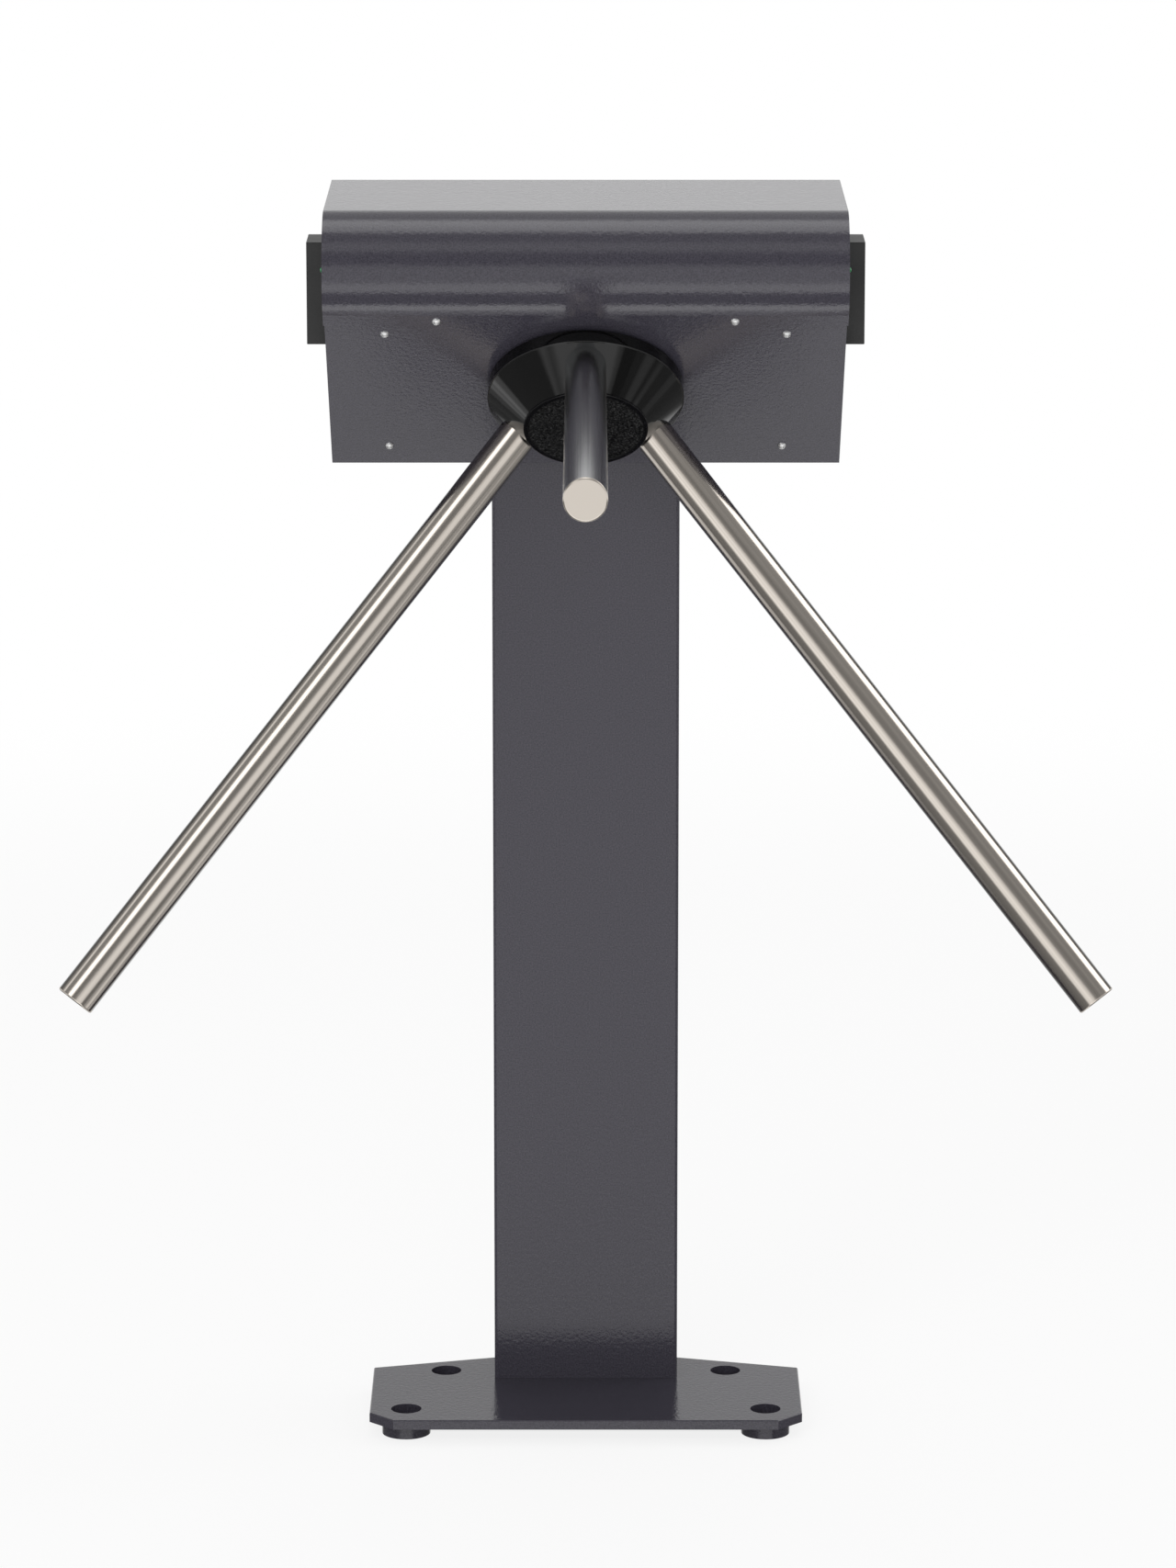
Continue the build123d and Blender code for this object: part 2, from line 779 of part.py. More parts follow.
pivot = lug_point(1, lug_radius + pivot_out, pivot_up)
pivots = [(side * pivot[0], pivot[1]) for side in (-1, 1)]
with BuildPart() as carrier_plate:
    with BuildSketch(at(carrier_rear)):
        with Locations((0, (carrier_top + carrier_bottom) / 2)):
            Rectangle(2 * carrier_half_width, carrier_height)
        Circle(carrier_spigot_radius + seat_fit, mode=Mode.SUBTRACT)
        with PolarLocations(carrier_screw_circle, carrier_screw_count, start_angle=45):
            Circle(carrier_screw_radius + seat_fit, mode=Mode.SUBTRACT)
        with Locations(*pivots):
            Circle(pivot_radius + seat_fit, mode=Mode.SUBTRACT)
        with Locations((0, -gear_distance)):
            Circle(damper_shaft_radius + free_gap, mode=Mode.SUBTRACT)
    extrude(amount=carrier_thickness)
save(carrier_plate.part, "carrier_plate")

with BuildPart() as carrier_screws:
    with BuildSketch(at(carrier_rear)):
        with PolarLocations(carrier_screw_circle, carrier_screw_count, start_angle=45):
            Circle(carrier_screw_radius)
    extrude(amount=2 * carrier_thickness)
    with BuildSketch(at(carrier_rear)):
        with PolarLocations(carrier_screw_circle, carrier_screw_count, start_angle=45):
            Circle(carrier_screw_head_radius)
    extrude(amount=-carrier_screw_head_height)
save(carrier_screws.part, "carrier_screws")


def make_bearing(name, bore, rim, width, rear):
    """Ball bearing on the hub's axis: outer ring, inner ring, and balls in their cage."""
    section = rim - bore
    ball_radius = section * ball_share / 2
    ring = section * ring_share
    ball_circle = (bore + rim) / 2
    middle = at(rear + width / 2)
    groove = ball_radius + running_fit
    for ring_name, small, large in (
        ("outer_ring", rim - ring, rim),
        ("inner_ring", bore + seat_fit, bore + ring),
    ):
        with BuildPart() as bearing_ring:
            with BuildSketch(turning_frame):
                with Locations(((small + large) / 2, rear + width / 2)):
                    Rectangle(large - small, width)
                with Locations((ball_circle, rear + width / 2)):
                    Circle(groove, mode=Mode.SUBTRACT)
            revolve(axis=hub_axis)
        save(bearing_ring.part, f"{name}_{ring_name}")
    cage_half = ball_radius + cage_margin
    with BuildPart() as balls:
        with BuildSketch(middle.offset(-cage_half)):
            Circle(ball_circle + cage_thickness / 2)
            Circle(ball_circle - cage_thickness / 2, mode=Mode.SUBTRACT)
        extrude(amount=2 * cage_half)
        with Locations(middle):
            with PolarLocations(ball_circle, ball_count, start_angle=90 / ball_count):
                Cylinder(groove, 2 * cage_thickness, rotation=(0, 90, 0), mode=Mode.SUBTRACT)
                Sphere(ball_radius)
    save(balls.part, f"{name}_balls")


make_bearing(
    "front_bearing", front_bearing_bore, front_bearing_rim, front_bearing_width, front_bearing_rear
)
make_bearing("rear_bearing", rear_bearing_bore, rear_bearing_rim, rear_bearing_width, housing_rear)

# Drive shaft
shaft_profile = [
    (0, shaft_rear),
    (shaft_tail_radius, shaft_rear),
    (shaft_tail_radius, housing_rear),
    (rear_bearing_bore, housing_rear),
    (rear_bearing_bore, rear_bearing_front),
    (front_bearing_bore, rear_bearing_front),
    (front_bearing_bore, housing_front),
    (shaft_flange_radius, housing_front),
    (shaft_flange_radius, hub_rear),
    (front_bearing_bore, hub_rear),
    (front_bearing_bore, shaft_front),
    (0, shaft_front),
]
with BuildPart() as drive_shaft:
    with BuildSketch(turning_frame):
        Polygon(*shaft_profile, align=None)
    revolve(axis=hub_axis)
    with BuildSketch(at(shaft_front)):
        Circle(hub_bolt_radius + seat_fit)
    extrude(amount=-hub_bolt_length, mode=Mode.SUBTRACT)
save(drive_shaft.part, "drive_shaft")

# Hub: rear boss, rim, cone with three stepped arm sockets, and a pocket for the bolt
hub_profile = [
    (front_bearing_bore + seat_fit, hub_rear),
    (hub_boss_radius, hub_rear),
    (hub_boss_radius, rim_rear),
    (hub_rim_radius, rim_rear),
    (hub_rim_radius, rim_front),
    (cone_foot_radius, rim_front),
    (hub_face_radius, hub_face),
    (hub_pocket_radius, hub_face),
    (hub_pocket_radius, pocket_floor),
    (front_bearing_bore + seat_fit, pocket_floor),
]
socket_floor = arm_seat_distance - arm_socket_depth
socket_mouth = arm_seat_distance + arm_radius
spigot_floor = socket_floor - root_spigot_length - free_gap
with BuildPart() as hub:
    with BuildSketch(turning_frame):
        Polygon(*hub_profile, align=None)
    revolve(axis=hub_axis)
    rim_circles = hub.edges().filter_by(GeomType.CIRCLE)
    rim_edges = rim_circles.filter_by(lambda edge: abs(edge.radius - hub_rim_radius) < seat_fit)
    fillet(rim_edges, 0.8 * hub_rim_step)
    for angle in arm_angles:
        with BuildSketch(arm_frame(angle, socket_floor)):
            Circle(arm_radius + seat_fit)
        extrude(amount=socket_mouth - socket_floor, mode=Mode.SUBTRACT)
        with BuildSketch(arm_frame(angle, spigot_floor)):
            Circle(root_spigot_radius + seat_fit)
        extrude(amount=socket_floor - spigot_floor, mode=Mode.SUBTRACT)
save(hub.part, "hub")

# Cap over the hub's pocket, with a thin raised rim
cap_front = hub_face + cap_thickness
cap_spigot_radius = hub_pocket_radius - seat_fit
with BuildPart() as hub_cap:
    with BuildSketch(at(hub_face)):
        Circle(hub_face_radius)
    extrude(amount=cap_thickness)
    with BuildSketch(at(cap_front)):
        Circle(hub_face_radius)
        Circle(hub_face_radius - cap_rim_width, mode=Mode.SUBTRACT)
    extrude(amount=cap_rim_height)
    rim_front_edges = hub_cap.edges().sort_by(hub_axis)[-2:]
    fillet(rim_front_edges, cap_rim_height / 2)
    with BuildSketch(at(hub_face)):
        Circle(cap_spigot_radius)
        Circle(cap_spigot_radius - cap_spigot_wall, mode=Mode.SUBTRACT)
    extrude(amount=-cap_spigot_length)
save(hub_cap.part, "hub_cap")

# Bolt and washer that pull the hub onto the shaft
washer_front = pocket_floor + hub_washer_thickness
with BuildPart() as hub_bolt:
    with BuildSketch(at(shaft_front - hub_bolt_length + free_gap)):
        Circle(hub_bolt_radius)
    extrude(amount=hub_bolt_length - free_gap + shaft_hub_recess)
    with BuildSketch(at(pocket_floor)):
        Circle(hub_washer_radius)
    extrude(amount=hub_washer_thickness)
    with BuildSketch(at(washer_front)):
        RegularPolygon(hub_bolt_head_radius, 6)
    extrude(amount=hub_bolt_head_height)
save(hub_bolt.part, "hub_bolt")

# Arms: tubes seated in the hub's sockets
tube_end = arm_reach - end_plug_head
tube_bore = arm_radius - arm_wall
for arm_name, angle in zip(("front", "left", "right"), arm_angles):
    with BuildPart() as arm_tube:
        with BuildSketch(arm_frame(angle, socket_floor)):
            Circle(arm_radius)
            Circle(tube_bore, mode=Mode.SUBTRACT)
        extrude(amount=tube_end - socket_floor)
    save(arm_tube.part, f"{arm_name}_arm")

# Root plugs screwed into the hub, and plugs that close the outer ends
plug_radius = tube_bore - seat_fit
with BuildPart() as arm_root_plugs:
    for angle in arm_angles:
        with BuildSketch(arm_frame(angle, socket_floor)):
            Circle(plug_radius)
        extrude(amount=root_plug_length)
        with BuildSketch(arm_frame(angle, socket_floor)):
            Circle(root_spigot_radius)
        extrude(amount=-root_spigot_length)
save(arm_root_plugs.part, "arm_root_plugs")

with BuildPart() as arm_end_plugs:
    for angle in arm_angles:
        with BuildSketch(arm_frame(angle, tube_end)):
            Circle(arm_radius)
        extrude(amount=end_plug_head)
        with BuildSketch(arm_frame(angle, tube_end)):
            Circle(plug_radius)
        extrude(amount=-end_plug_insert)
        arm_line = Axis(apex, arm_frame(angle, tube_end).z_dir)
        fillet(arm_end_plugs.edges().sort_by(arm_line)[-1], end_plug_round)
save(arm_end_plugs.part, "arm_end_plugs")


def gear_tooth(teeth):
    """One tooth on the +X axis, with involute flanks, and the gear's root radius."""
    pitch = gear_module * teeth / 2
    base = pitch * cos(radians(pressure_angle))
    tip = pitch + gear_module
    root = pitch - 1.25 * gear_module
    involute = tan(radians(pressure_angle)) - radians(pressure_angle)
    half_angle = pi / (2 * teeth) - flank_play / pitch
    start = max(base, root)
    radii = [start + (tip - start) * step / 4 for step in range(5)]

    def flank(side):
        points = []
        for radius in radii:
            roll = acos(min(1, base / radius))
            angle = side * (half_angle + involute - tan(roll) + roll)
            points.append((radius * cos(angle), radius * sin(angle)))
        return points

    upper = flank(1)
    lower = flank(-1)
    sunk = 0.97 * root / start
    with BuildSketch(mode=Mode.PRIVATE) as tooth:
        with BuildLine():
            Spline(*upper)
            Spline(*lower)
            ThreePointArc(upper[-1], (tip, 0), lower[-1])
            Polyline(
                upper[0],
                (upper[0][0] * sunk, upper[0][1] * sunk),
                (lower[0][0] * sunk, lower[0][1] * sunk),
                lower[0],
            )
        make_face()
    return tooth.sketch, root


# Gear on the shaft, with a tooth pointing at the damper
tooth_shape, root_radius = gear_tooth(gear_teeth)
with BuildPart() as drive_gear:
    with BuildSketch(at(gear_rear)):
        Circle(root_radius)
        with PolarLocations(0, gear_teeth, start_angle=-90):
            add(tooth_shape)
        Circle(shaft_tail_radius + seat_fit, mode=Mode.SUBTRACT)
    extrude(amount=gear_width)
    with BuildSketch(at(gear_front)):
        Circle(rear_bearing_bore + (rear_bearing_rim - rear_bearing_bore) * ring_share)
        Circle(shaft_tail_radius + seat_fit, mode=Mode.SUBTRACT)
    extrude(amount=gear_boss_length)
save(drive_gear.part, "drive_gear")

# Damper pinion, with a gap pointing at the gear
half_pitch = 180 / pinion_teeth
tooth_shape, root_radius = gear_tooth(pinion_teeth)
damper_front = carrier_front + damper_length
with BuildPart() as damper_pinion:
    with BuildSketch(at(gear_rear)):
        with Locations((0, -gear_distance)):
            Circle(root_radius)
            with PolarLocations(0, pinion_teeth, start_angle=90 + half_pitch):
                add(tooth_shape)
    extrude(amount=gear_width)
    with BuildSketch(at(gear_front)):
        with Locations((0, -gear_distance)):
            Circle(damper_shaft_radius)
    extrude(amount=damper_front - damper_length / 2 - gear_front)
save(damper_pinion.part, "damper_pinion")

# Damper body on the carrier's front, beside the housing
damper_radius = gear_distance - housing_radius - damper_gap
with BuildPart() as damper_body:
    with BuildSketch(at(carrier_front)):
        with Locations((0, -gear_distance)):
            RectangleRounded(damper_ear_width, damper_ear_height, damper_ear_height / 3)
    extrude(amount=damper_ear_thickness)
    with BuildSketch(at(carrier_front)):
        with Locations((0, -gear_distance)):
            Circle(damper_radius)
    extrude(amount=damper_length)
    with BuildSketch(at(carrier_front)):
        with Locations((0, -gear_distance)):
            Circle(damper_shaft_radius + running_fit)
    extrude(amount=damper_length / 2 + free_gap, mode=Mode.SUBTRACT)
save(damper_body.part, "damper_body")

# Index cam with three stop lugs
with BuildPart() as index_cam:
    with BuildSketch(at(cam_rear)):
        Circle(cam_root_radius)
        with PolarLocations(lug_radius / 2, arm_count, start_angle=arm_angles[0]):
            Rectangle(lug_radius, lug_width)
        Circle(shaft_tail_radius + seat_fit, mode=Mode.SUBTRACT)
    extrude(amount=cam_width)
    with BuildSketch(at(cam_front)):
        Circle(cam_boss_radius)
        Circle(shaft_tail_radius + seat_fit, mode=Mode.SUBTRACT)
    extrude(amount=cam_boss_length)
save(index_cam.part, "index_cam")

# Detent cam with three notches, and the nut that holds the stack
with BuildPart() as detent_cam:
    with BuildSketch(at(detent_rear)):
        Circle(detent_radius)
        with PolarLocations(detent_radius, arm_count, start_angle=arm_angles[0]):
            Circle(detent_notch_radius, mode=Mode.SUBTRACT)
        Circle(shaft_tail_radius + seat_fit, mode=Mode.SUBTRACT)
    extrude(amount=detent_width)
    with BuildSketch(at(detent_front)):
        Circle(cam_boss_radius)
        Circle(shaft_tail_radius + seat_fit, mode=Mode.SUBTRACT)
    extrude(amount=detent_boss_length)
save(detent_cam.part, "detent_cam")

with BuildPart() as shaft_nut:
    with BuildSketch(at(nut_rear)):
        RegularPolygon(nut_across_flats / 2, 6, major_radius=False)
        Circle(shaft_tail_radius + seat_fit, mode=Mode.SUBTRACT)
    extrude(amount=nut_height)
save(shaft_nut.part, "shaft_nut")

# Leaf spring whose nose lies in a notch of the detent cam
nose_lowest = detent_radius - detent_notch_radius + free_gap
leaf_corner = nose_lowest + leaf_thickness / 2 - leaf_bend_radius / 4
leaf_end = post_inner + post_width
leaf_route = [
    (leaf_end, leaf_height),
    (leaf_bend_out, leaf_height),
    (0, leaf_corner),
    (-leaf_tail_out, leaf_corner + leaf_tail_rise),
]
leaf_rear = (detent_front + detent_rear) / 2 - leaf_width / 2
with BuildPart() as detent_spring:
    with BuildSketch(at(leaf_rear)):
        with BuildLine():
            FilletPolyline(*leaf_route, radius=leaf_bend_radius)
        trace(line_width=leaf_thickness)
    extrude(amount=leaf_width)
save(detent_spring.part, "detent_spring")

# Slotted post that clamps the leaf spring
post_low = leaf_height - post_below
post_high = leaf_height + post_above
with BuildPart() as detent_post:
    with BuildSketch(at(carrier_rear)):
        with Locations((post_inner + post_width / 2, (post_low + post_high) / 2)):
            Rectangle(post_width, post_high - post_low)
    extrude(amount=detent_rear - post_past_cam - carrier_rear)
    with BuildSketch(at(leaf_rear)):
        with Locations((post_inner + post_width / 2, leaf_height)):
            Rectangle(post_width, leaf_thickness + 2 * seat_fit)
    extrude(amount=leaf_width, mode=Mode.SUBTRACT)
save(detent_post.part, "detent_post")

# Pivot pins of the pawls, pressed into the carrier plate
pawl_front = cam_middle + pawl_thickness / 2
pawl_rear = cam_middle - pawl_thickness / 2
with BuildPart() as pawl_pins:
    with BuildSketch(at(pawl_rear - free_gap - pivot_head_height)):
        with Locations(*pivots):
            Circle(pivot_radius)
    extrude(amount=carrier_front - pawl_rear + free_gap + pivot_head_height)
    with BuildSketch(at(pawl_front + free_gap)):
        with Locations(*pivots):
            Circle(pivot_shoulder_radius)
    extrude(amount=carrier_rear - pawl_front - free_gap)
    with BuildSketch(at(pawl_rear - free_gap)):
        with Locations(*pivots):
            Circle(pivot_shoulder_radius)
    extrude(amount=-pivot_head_height)
save(pawl_pins.part, "pawl_pins")

# Pawls, drawn engaged and turned back to their free place. The nose lies within a circle about
# the pivot that clears the lug's outer corner at every angle of the swing.
nose_in = lug_radius - pawl_bite
nose_face = lug_flank + free_gap
face_radius = sqrt(pivot_out**2 + (pivot_up - nose_face) ** 2)
tip_face = pivot_up - sqrt(face_radius**2 - (pivot_out + pawl_bite) ** 2)
shank_in = lug_radius + pawl_shank_gap
pawl_corners = [
    (nose_in, tip_face),
    (lug_radius, nose_face),
    (shank_in + pawl_shank_width, nose_face),
    (lug_radius + pivot_out + pivot_boss_radius, pivot_up),
    (shank_in, pivot_up),
    (shank_in, nose_face + pawl_nose_width),
    (nose_in, nose_face + pawl_nose_width),
]
pin_rest = turned_about((pivot[0], pivot[1] + pawl_arm), pivot, pawl_swing / 2)
for side_name, side in (("left", -1), ("right", 1)):
    free_corners = []
    for out, along in pawl_corners:
        corner = turned_about(lug_point(1, out, along), pivot, pawl_swing)
        free_corners.append((side * corner[0], corner[1]))
    with BuildPart() as pawl:
        with BuildSketch(at(pawl_rear)):
            with Locations((side * pivot[0], pivot[1])):
                Circle(pivot_boss_radius)
            with Locations((side * pin_rest[0], pin_rest[1])):
                Circle(pawl_eye_radius)
            make_hull()
            Polygon(*free_corners, align=None)
            with Locations((side * pivot[0], pivot[1])):
                Circle(pivot_radius + running_fit, mode=Mode.SUBTRACT)
            with Locations((side * pin_rest[0], pin_rest[1])):
                SlotOverall(
                    2 * (cross_pin_radius + cross_pin_play) + cross_pin_slot,
                    2 * (cross_pin_radius + cross_pin_play),
                    rotation=90 + side * pawl_swing / 2,
                    mode=Mode.SUBTRACT,
                )
        extrude(amount=pawl_thickness)
    save(pawl.part, f"{side_name}_pawl")

# Solenoids: plunger, return spring, coil and frame on each side
stroke = pawl_arm * radians(pawl_swing)
collar_face = pin_rest[0] + plunger_collar_offset + plunger_collar_thickness
frame_inner = collar_face + spring_length
coil_start = frame_inner + frame_thickness
coil_end = coil_start + coil_length
frame_outer = coil_end + frame_thickness
plunger_end = coil_end - coil_tail - stroke
fork_width = pawl_thickness + 2 * free_gap
fork_middle = pin_rest[0] + (plunger_fork_depth - plunger_nose) / 2
bore_radius = plunger_radius + running_fit


def across(side, place):
    """Plane across a solenoid's axis at a distance from the middle, its z outwards."""
    origin = hub_frame.from_local_coords((side * place, pin_rest[1], cam_middle))
    return Plane(origin=origin, x_dir=hub_frame.y_dir, z_dir=hub_frame.x_dir * side)


for side_name, side in (("left", -1), ("right", 1)):
    with BuildPart() as plunger:
        with BuildSketch(across(side, pin_rest[0] - plunger_nose)):
            Circle(plunger_radius)
        extrude(amount=plunger_end - pin_rest[0] + plunger_nose)
        with BuildSketch(across(side, collar_face - plunger_collar_thickness)):
            Circle(plunger_collar_radius)
        extrude(amount=plunger_collar_thickness)
        with BuildSketch(at(cam_middle - fork_width / 2)):
            with Locations((side * fork_middle, pin_rest[1])):
                Rectangle(plunger_fork_depth + plunger_nose, 2 * plunger_radius)
        extrude(amount=fork_width, mode=Mode.SUBTRACT)
        with BuildSketch(at(cam_middle - fork_width / 2)):
            with Locations((side * pin_rest[0], pin_rest[1])):
                Circle(cross_pin_radius)
        extrude(amount=fork_width)
    save(plunger.part, f"{side_name}_plunger")

    wire_seat = spring_wire_radius + spring_seat_gap
    wind_plane = across(side, collar_face + wire_seat)
    wind_height = spring_length - 2 * wire_seat
    with BuildPart() as return_spring:
        with BuildLine() as winding:
            Helix(
                pitch=wind_height / spring_turns,
                height=wind_height,
                radius=spring_coil_radius,
                center=wind_plane.origin,
                direction=wind_plane.z_dir,
            )
        with BuildSketch(Plane(origin=winding.line @ 0, z_dir=winding.line % 0)):
            Circle(spring_wire_radius)
        sweep(path=winding.line, is_frenet=True)
    save(return_spring.part, f"{side_name}_return_spring")

with BuildPart() as solenoid_coils:
    for side in (-1, 1):
        with BuildSketch(across(side, coil_start)):
            Circle(coil_radius)
            Circle(bore_radius, mode=Mode.SUBTRACT)
        extrude(amount=coil_length)
save(solenoid_coils.part, "solenoid_coils")

frame_base = cam_middle + coil_radius + frame_gap
frame_length = frame_outer - frame_inner
cheek_depth = carrier_rear - cam_middle + coil_radius
with BuildPart() as solenoid_frames:
    for side in (-1, 1):
        with BuildSketch(at(frame_base)):
            with Locations((side * (frame_inner + frame_outer) / 2, pin_rest[1])):
                Rectangle(frame_length, 2 * frame_half_height)
        extrude(amount=carrier_rear - frame_base)
        for place in (frame_inner, coil_end):
            with BuildSketch(across(side, place)):
                with Locations((0, side * (carrier_rear - cam_middle - cheek_depth / 2))):
                    Rectangle(2 * frame_half_height, cheek_depth)
                Circle(plunger_radius + free_gap, mode=Mode.SUBTRACT)
            extrude(amount=frame_thickness)
save(solenoid_frames.part, "solenoid_frames")

# Control board on standoffs on the back wall, with a terminal strip and relays
board_middle = head_floor + board_rise + board_height / 2
hole_span_x = board_width - 2 * board_hole_margin
hole_span_z = board_height - 2 * board_hole_margin
wall_frame = Plane(origin=(0, wall_inner, board_middle), x_dir=(1, 0, 0), z_dir=(0, -1, 0))
with BuildPart() as board_standoffs:
    with BuildSketch(wall_frame):
        with GridLocations(hole_span_x, hole_span_z, 2, 2):
            Circle(board_standoff_radius)
    extrude(amount=board_standoff_length)
save(board_standoffs.part, "board_standoffs")

with BuildPart() as control_board:
    with BuildSketch(wall_frame.offset(board_standoff_length)):
        Rectangle(board_width, board_height)
    extrude(amount=board_thickness)
    with BuildSketch(wall_frame.offset(board_standoff_length + board_thickness)):
        with Locations((0, -board_height / 2 + terminal_margin + terminal_height / 2)):
            Rectangle(terminal_width, terminal_height)
        with GridLocations(relay_pitch, relay_size, relay_count, 1):
            Rectangle(relay_size, relay_size)
    extrude(amount=terminal_depth)
save(control_board.part, "control_board")
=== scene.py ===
import json
import math

import bmesh
import bpy
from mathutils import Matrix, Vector
from mathutils import noise as perlin


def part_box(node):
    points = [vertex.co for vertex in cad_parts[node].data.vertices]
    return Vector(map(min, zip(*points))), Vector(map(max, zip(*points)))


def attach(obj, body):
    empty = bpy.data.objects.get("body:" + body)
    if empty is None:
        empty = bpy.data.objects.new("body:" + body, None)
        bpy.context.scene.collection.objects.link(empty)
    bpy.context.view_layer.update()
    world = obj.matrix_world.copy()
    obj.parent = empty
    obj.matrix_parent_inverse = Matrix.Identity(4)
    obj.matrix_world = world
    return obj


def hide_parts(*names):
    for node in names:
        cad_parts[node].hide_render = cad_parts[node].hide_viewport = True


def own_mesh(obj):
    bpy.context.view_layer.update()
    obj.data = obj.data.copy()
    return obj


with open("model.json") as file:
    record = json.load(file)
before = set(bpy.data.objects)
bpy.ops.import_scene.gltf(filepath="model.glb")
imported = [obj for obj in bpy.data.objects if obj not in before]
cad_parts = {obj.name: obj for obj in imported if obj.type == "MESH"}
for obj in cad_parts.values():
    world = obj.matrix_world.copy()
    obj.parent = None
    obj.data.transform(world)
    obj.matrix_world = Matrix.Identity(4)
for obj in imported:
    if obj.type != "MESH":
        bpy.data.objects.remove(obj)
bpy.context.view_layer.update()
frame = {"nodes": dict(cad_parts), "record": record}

nodes = frame["nodes"]
record = frame["record"]
scene = bpy.context.scene
scene.view_settings.view_transform = "Standard"

# The hub: its axis points down into the passage, and the arms leave the apex around it
APEX = Vector((0, -0.0757, 0.8997))
HUB_AXIS = Vector((0, -1, -1)).normalized()
HUB_UP = Vector((0, -1, 1)).normalized()
ARM_ANGLES = {"front_arm": 90, "left_arm": 210, "right_arm": 330}


def arm_axis(angle):
    """Direction of an arm, at half a right angle to the hub's axis."""
    turn = math.radians(angle)
    return (HUB_AXIS + Vector((math.cos(turn), 0, 0)) + HUB_UP * math.sin(turn)).normalized()


# Camera, as the photograph was taken: the sensor's size lies along the photograph's height
PHOTO_HEIGHT = 1707
FOCAL_PIXELS = 7117.0
SENSOR = 36.0
CAMERA_PLACE = (0.0018, -5.2366, 1.7391)
CAMERA_PITCH = 13.05
CAMERA_REACH = 100.0


def add_camera():
    data = bpy.data.cameras.new("photo_camera")
    data.sensor_width = SENSOR
    data.lens = FOCAL_PIXELS / PHOTO_HEIGHT * SENSOR
    data.clip_end = CAMERA_REACH
    camera = bpy.data.objects.new("photo_camera", data)
    camera.location = CAMERA_PLACE
    camera.rotation_euler = (math.radians(90 - CAMERA_PITCH), 0, 0)
    scene.collection.objects.link(camera)
    scene.camera = camera


# Shader nodes

# Where most values of a noise lie
NOISE_SPAN = (0.3, 0.7)


def new_material(name):
    material = bpy.data.materials.new(name)
    material.use_nodes = True
    tree = material.node_tree
    shader = tree.nodes["Principled BSDF"]
    return material, tree, shader


def place_coordinates(tree):
    return tree.nodes.new("ShaderNodeTexCoord").outputs["Object"]


def noise(tree, vector, scale, detail=2.0, roughness=0.5):
    node = tree.nodes.new("ShaderNodeTexNoise")
    node.inputs["Scale"].default_value = scale
    node.inputs["Detail"].default_value = detail
    node.inputs["Roughness"].default_value = roughness
    tree.links.new(vector, node.inputs["Vector"])
    return node.outputs["Fac"]


def spread(tree, value, low_in, high_in, low_out, high_out):
    node = tree.nodes.new("ShaderNodeMapRange")
    node.inputs["From Min"].default_value = low_in
    node.inputs["From Max"].default_value = high_in
    node.inputs["To Min"].default_value = low_out
    node.inputs["To Max"].default_value = high_out
    tree.links.new(value, node.inputs["Value"])
    return node.outputs["Result"]


def smooth_step(tree, value, low, high):
    node = tree.nodes.new("ShaderNodeMapRange")
    node.interpolation_type = "SMOOTHSTEP"
    node.inputs["From Min"].default_value = low
    node.inputs["From Max"].default_value = high
    tree.links.new(value, node.inputs["Value"])
    return node.outputs["Result"]


def calculate(tree, operation, first, second=0):
    node = tree.nodes.new("ShaderNodeMath")
    node.operation = operation
    for socket, value in zip(node.inputs, (first, second)):
        if isinstance(value, (int, float)):
            socket.default_value = value
        else:
            tree.links.new(value, socket)
    return node.outputs["Value"]


def lean(tree, share, first, second):
    """Level between two levels, at a share of the way."""
    step = calculate(tree, "SUBTRACT", second, first)
    return calculate(tree, "ADD", first, calculate(tree, "MULTIPLY", share, step))


def blend_colours(tree, factor, first, second):
    node = tree.nodes.new("ShaderNodeMix")
    node.data_type = "RGBA"
    node.inputs["A"].default_value = (*first, 1)
    node.inputs["B"].default_value = (*second, 1)
    tree.links.new(factor, node.inputs["Factor"])
    return node.outputs["Result"]


def mix_shaders(tree, factor, first, second):
    node = tree.nodes.new("ShaderNodeMixShader")
    tree.links.new(factor, node.inputs["Fac"])
    tree.links.new(first, node.inputs[1])
    tree.links.new(second, node.inputs[2])
    return node.outputs["Shader"]


def bump(tree, height, distance, under=None):
    """Normal of a relief, which may lie on the normal of a coarser one."""
    node = tree.nodes.new("ShaderNodeBump")
    node.inputs["Distance"].default_value = distance
    node.inputs["Strength"].default_value = 1.0
    tree.links.new(height, node.inputs["Height"])
    if under is not None:
        tree.links.new(under, node.inputs["Normal"])
    return node.outputs["Normal"]


def seen_directly(tree):
    """One where the ray comes from the camera."""
    return tree.nodes.new("ShaderNodeLightPath").outputs["Is Camera Ray"]


def colour_by(tree, shader, texture, dark, light, span=NOISE_SPAN):
    """Colour that runs from dark to light with a noise."""
    share = spread(tree, texture, *span, 0, 1)
    tree.links.new(blend_colours(tree, share, dark, light), shader.inputs["Base Color"])


def gloss_by(tree, shader, texture, rough):
    """Roughness that runs between two values with a noise."""
    tree.links.new(spread(tree, texture, *NOISE_SPAN, *rough), shader.inputs["Roughness"])


# Grey powder coat
PAINT_DARK = (0.0335, 0.031, 0.0418)
PAINT_LIGHT = (0.0616, 0.0576, 0.0748)
PAINT_ROUGHNESS = (0.08, 0.1)
PAINT_PEEL_SCALE = 340
PAINT_PEEL_BREAKUP = 0.55
PAINT_PEEL_DEPTH = 0.00016
PAINT_SPECK_SCALE = 850
PAINT_SPECK_BREAKUP = 0.6
PAINT_SPECK_SPAN = (0.32, 0.68)
PAINT_SPECK_DEPTH = 0.00006
PAINT_CLOUD_SCALE = 25


